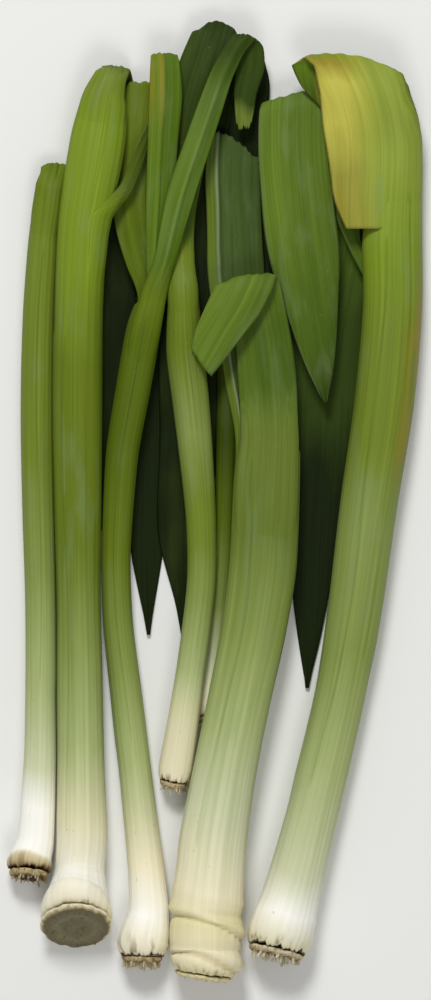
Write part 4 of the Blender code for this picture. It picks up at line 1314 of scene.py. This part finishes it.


# Leaf finishes: colours along the blade; colours laid over it across the blade, from the left edge, 0, to
# the right, 1, with their cover; where the part that faces up ends; strength of the waxy bloom, of veins
# and bands (1 if not said) and of yellow streaks; and the stretch in which the left side withers.
# Painted shade: the darkest green stops darken leaf parts that turn back under the bunch or lie behind
# others.
LEAF_LOOKS = {
    "leaf_1_a": dict(along={0.0: "olive", 0.3: "olive", 0.5: "moss", 1.0: "deep"}, bloom=0.15),
    "leaf_2_a": dict(
        along={0.0: "stem", 0.12: "stem", 0.2: "dusk", 0.3: "shaded_green", 1.0: "shaded_green"},
        front=0.25,
        bloom=0.06,
    ),
    "leaf_2_b": dict(along={0.0: "olive", 0.4: "moss", 1.0: "dusk"}, bloom=0.1),
    "leaf_3_a": dict(along={0.0: "moss", 0.4: "moss", 0.8: "olive", 1.0: "olive"}, bloom=0.2),
    "leaf_3_b": dict(
        along={0.0: "moss", 0.12: "grass", 0.3: "grass", 0.36: "meadow", 0.44: "dusk", 0.6: "shaded_green",
               1.0: "shaded_green"},
        front=0.30,
        withered=(0.20, 0.29),
        # Painted light on the left face and painted shade on the right face, either side of the keel, with
        # a dark line along the keel.
        across=[(0.0, "meadow", 0.7), (0.46, "meadow", 0.6), (0.5, "deep", 0.7), (0.54, "leek", 0.5),
                (1.0, "leek", 0.4)],
        bloom=0.18,
    ),
    "leaf_3_c": dict(
        front=0.64,
        along={0.0: "moss", 0.2: "grass", 0.42: "grass", 0.55: "grass", 0.66: "leek", 0.74: "deep",
               0.96: "deep", 1.0: "dull"},
        # Painted light on the left half and painted shade on the right half of the creased blade, with a
        # pale painted highlight along the crease.
        across=[(0.0, "meadow", 0.3), (0.44, "silver", 0.0), (0.52, "silver", 0.14), (0.6, "leek", 0.4),
                (1.0, "leek", 0.4)],
        bloom=0.12,
    ),
    "leaf_4_a": dict(
        along={0.0: "olive", 0.10: "leek", 0.17: "deep", 0.28: "deep", 0.38: "shaded_green", 1.0: "shaded_green"},
        front=0.36,
        bloom=0.04,
    ),
    "leaf_5_a": dict(along={0.0: "dusk", 0.3: "shaded_green", 1.0: "shaded_green"}, front=0.2, bloom=0.04),
    "leaf_6_a": dict(
        along={0.0: "dull", 0.24: "dull", 0.48: "leek", 0.60: "leek", 0.70: "meadow", 1.0: "meadow"},
        across=[(0.0, "meadow", 0.3), (0.4, "meadow", 0.2), (0.5, "leek", 0.3), (0.56, "meadow", 0.2),
                (0.8, "leek", 0.4), (1.0, "leek", 0.5)],
        bloom=0.2,
    ),
    "leaf_6_b": dict(
        along={0.0: "leek", 0.4: "deep", 0.7: "blue", 1.0: "blue"},
        # Painted light on the narrow left face of the off-centre fold, and a pale crease line that is
        # partly the dry crease's own colour and partly painted highlight.
        across=[(0.0, "stem", 0.75), (0.17, "meadow", 0.7), (0.21, "silver", 0.7), (0.25, "deep", 0.5),
                (0.32, "blue", 0.2), (1.0, "deep", 0.3)],
        bloom=0.15,
    ),
    "leaf_7_a": dict(
        along={0.0: "wilted", 0.20: "wilted", 0.36: "yellow", 0.50: "yellow", 0.57: "amber", 0.62: "stem",
               0.68: "grass", 0.8: "deep", 1.0: "shaded_green"},
        across=[(0.0, "amber", 0.4), (0.08, "yellow", 0.0), (0.32, "lime", 0.1), (0.52, "lime", 0.7),
                (0.66, "spring", 0.9), (0.86, "spring", 1.0), (1.0, "stem", 1.0)],
        front=0.60,
        veined=0.4,
        banded=1.5,
        bloom=0.0,
        streaks=0.5,
    ),
    "leaf_7_b": dict(
        along={0.0: "leek", 0.25: "leek", 0.4: "meadow", 0.62: "meadow", 0.85: "leek", 1.0: "deep"},
        across=[(0.0, "bloom", 0.35), (0.08, "meadow", 0.2), (0.5, "leek", 0.3), (1.0, "deep", 0.3)],
        bloom=0.22,
    ),
    "leaf_7_c": dict(
        along={0.0: "stem", 0.15: "olive", 0.26: "leek", 0.38: "leek", 0.48: "deep", 0.60: "deep",
               0.72: "shaded_green", 1.0: "shaded_green"},
        front=0.3,
        bloom=0.1,
    ),
}


def leaf_finish(name):
    """Flat leaf blade: parallel veins, waxy bloom in clouds, a paler edge, and streaks where it yellows.

    A leaf that clasps its stem has the stem's colour there, and takes its own as it opens.
    """
    look = LEAF_LOOKS[name]
    leaf = Finish("blade_" + name, roughness=0.55, specular=0.07)
    clouds = leaf.noise(0.16, 0.05, detail=3.0)
    colour = leaf.ramp(leaf.along + (clouds - 0.5) * 0.14, look["along"])
    fold = look.get("front", 1.0)
    front = leaf.along.eased(fold + 0.06, fold)
    if "across" in look:
        share = (leaf.across + 1.0) * 0.5 + (clouds - 0.5) * 0.08
        colour = leaf.painted(colour, share, look["across"], front)
    veins = leaf.noise(2.0, 0.02, detail=3.0)
    bands = leaf.noise(0.5, 0.012)
    veined = look.get("veined", 1.0)
    colour = leaf.mix(veins.eased(0.47, 0.66) * (0.30 * veined), colour, SHADE, "MULTIPLY")
    colour = leaf.mix(bands.eased(0.42, 0.62) * (0.22 * look.get("banded", 1.0)), colour, SHADE, "MULTIPLY")
    colour = leaf.mix(veins.eased(0.50, 0.32) * (0.16 * veined), colour, LIGHT, "SOFT_LIGHT")
    waxy = leaf.noise(0.3, 0.07, detail=4.0).eased(0.46, 0.70) * look["bloom"] * front
    colour = leaf.mix(waxy, colour, tint("bloom"))
    if "streaks" in look:
        streaks = leaf.noise(0.35, 0.04, detail=4.0).eased(0.48, 0.70) * look["streaks"]
        colour = leaf.mix(streaks * leaf.across.eased(0.4, -0.8), colour, tint("amber"))
    if "withered" in look:
        low, high = look["withered"]
        dry = leaf.across.eased(0.15, -0.35) * leaf.along.eased(low, high) * front
        colour = leaf.mix(dry * bands.eased(0.30, 0.55) * 0.75, colour, tint("amber"))
    edge = abs(leaf.across).eased(0.95, 1.0)
    colour = leaf.mix(edge * leaf.opened * front * 0.30, colour, tint("sap"))
    holder = CLASPS.get(name) or DRAPES.get(name)
    if holder:
        closed_colour, _ = sheath_colour(leaf, STEM_LOOKS[holder[0]])
        colour = leaf.mix(leaf.opened + (clouds - 0.5) * 0.3 * leaf.opened, closed_colour, colour)
    specks = leaf.noise(1.2, 0.8, detail=1.0).eased(0.75, 0.80)
    colour = leaf.mix(specks * front * 0.25, colour, tint("tan"))
    relief = veins + leaf.noise(3.6, 0.06, detail=1.0) * 0.5
    return leaf.done(colour, relief, 0.05)


# Root plate finishes: colours from the middle of the face to the rim.
PLATE_LOOKS = {
    "root_plate_1": {0.0: "soil", 0.5: "bark", 0.85: "brown", 1.0: "fibre"},
    "root_plate_2": {0.0: "dun", 0.3: "umber", 0.55: "dun", 0.78: "umber", 0.9: "umber", 0.96: "fibre",
                     1.0: "cream"},
    "root_plate_3": {0.0: "soil", 0.5: "brown", 0.9: "cork", 1.0: "fibre"},
    "root_plate_4": {0.0: "bark", 0.6: "cork", 1.0: "fibre"},
    "root_plate_5": {0.0: "bark", 0.6: "cork", 1.0: "fibre"},
    "root_plate_6": {0.0: "straw", 0.7: "fibre", 1.0: "flesh"},
    "root_plate_7": {0.0: "soil", 0.45: "bark", 0.8: "cork", 1.0: "root"},
}

# Colours of the roots, from the plate to their cut ends.
ROOT_LOOKS = {
    "root_plate_1": {0.0: "brown", 1.0: "root"},
    "root_plate_2": {0.0: "umber", 1.0: "dun"},
    "root_plate_7": {0.0: "fibre", 1.0: "cream"},
}
PLAIN_ROOT = {0.0: "fibre", 1.0: "root"}


def plate_finish(name):
    """Corky root plate and trimmed roots: blotched by fine clouds, with dark pits and stringy roots.

    A plate that is cut clean across is less blotched and pitted in colour.
    """
    blotched, pitted = (0.2, 0.1) if SLOT_OF[name] == "cut_root" else (0.7, 0.45)
    cork = Finish("corky_" + name, roughness=0.8, specular=0.2)
    blotch = cork.noise(0.9, 0.9, detail=5.0)
    face = cork.ramp(cork.across + (blotch - 0.5) * blotched, PLATE_LOOKS[name])
    string = cork.noise(2.2, 0.3, detail=3.0)
    root = cork.ramp(cork.along + (string - 0.5) * 0.5, ROOT_LOOKS.get(name, PLAIN_ROOT))
    colour = cork.mix(cork.along.eased(0.01, 0.05), face, root)
    colour = cork.mix(blotch.eased(0.52, 0.70) * 0.5, colour, SHADE, "MULTIPLY")
    pits = cork.noise(1.8, 1.8, detail=2.0).eased(0.58, 0.66)
    colour = cork.mix(pits * pitted, colour, tint("bark"))
    return cork.done(colour, blotch + string * 0.5 - pits * 0.4, 0.25)


def build_bunch():
    """Every stem, leaf and root plate with its own finish."""
    kinds = [
        (STEMS, ("stem", "sheath"), stem_skin, stem_finish),
        (LEAVES, ("leaf", "blade"), blade_skin, leaf_finish),
        (ROOT_PLATES, ("root_plate", "roots"), root_plate_skin, plate_finish),
    ]
    for nodes, renamed, skin, finish in kinds:
        for node in nodes:
            add_piece(node.replace(*renamed), skin(node), finish(node), node)


FLOOR_SIZE = 6.0
FLOOR_DROP = 0.0001
FLOOR_COLOUR = (0.82, 0.82, 0.80, 1.0)


def add_floor():
    """A plain pale floor just under the bunch."""
    half = FLOOR_SIZE / 2
    corners = [(-half, -half), (half, -half), (half, half), (-half, half)]
    mesh = bpy.data.meshes.new("floor")
    mesh.from_pydata([(x, y, -FLOOR_DROP) for x, y in corners], [], [(0, 1, 2, 3)])
    material = bpy.data.materials.new("pale_floor")
    material.use_nodes = True
    shader = material.node_tree.nodes["Principled BSDF"]
    shader.inputs["Base Color"].default_value = FLOOR_COLOUR
    shader.inputs["Roughness"].default_value = 0.9
    shader.inputs["Specular IOR Level"].default_value = 0.1
    mesh.materials.append(material)
    floor = added("floor", mesh)


def add_lamp(name, place, size, energy):
    """A square soft lamp that points at the middle of the bunch."""
    lamp = bpy.data.lights.new(name, "AREA")
    lamp.shape = "SQUARE"
    lamp.size = size
    lamp.energy = energy
    made = added(name, lamp)
    made.location = place
    made.rotation_euler = made.location.normalized().to_track_quat("Z", "Y").to_euler()


def add_light():
    """A soft lamp beyond the leaves, a weak one beyond the root ends, and an even pale surround."""
    add_lamp("key", (-0.15, 0.85, 1.10), 0.35, 12.25)
    add_lamp("fill", (0.10, -0.70, 1.00), 0.45, 3.3)
    world = bpy.data.worlds.new("surround")
    world.use_nodes = True
    sky = world.node_tree.nodes["Background"]
    sky.inputs["Color"].default_value = (1.0, 1.0, 1.0, 1.0)
    sky.inputs["Strength"].default_value = 0.32
    bpy.context.scene.world = world


CAMERA_PLACE = (0.00035, 0.00025, 2.0)
FRAME_HEIGHT = 0.225
EYE_LEVEL = 0.008
SENSOR = 36.0


def add_camera():
    """A camera straight above, whose long side takes in FRAME_HEIGHT at the height of the stems."""
    data = bpy.data.cameras.new("above")
    data.sensor_width = SENSOR
    data.lens = SENSOR * (CAMERA_PLACE[2] - EYE_LEVEL) / FRAME_HEIGHT
    data.clip_start = 0.01
    data.clip_end = 20.0
    camera = added("above", data)
    camera.location = CAMERA_PLACE
    bpy.context.scene.camera = camera


build_bunch()
add_floor()
add_light()
add_camera()
bpy.context.scene.view_settings.view_transform = "Standard"
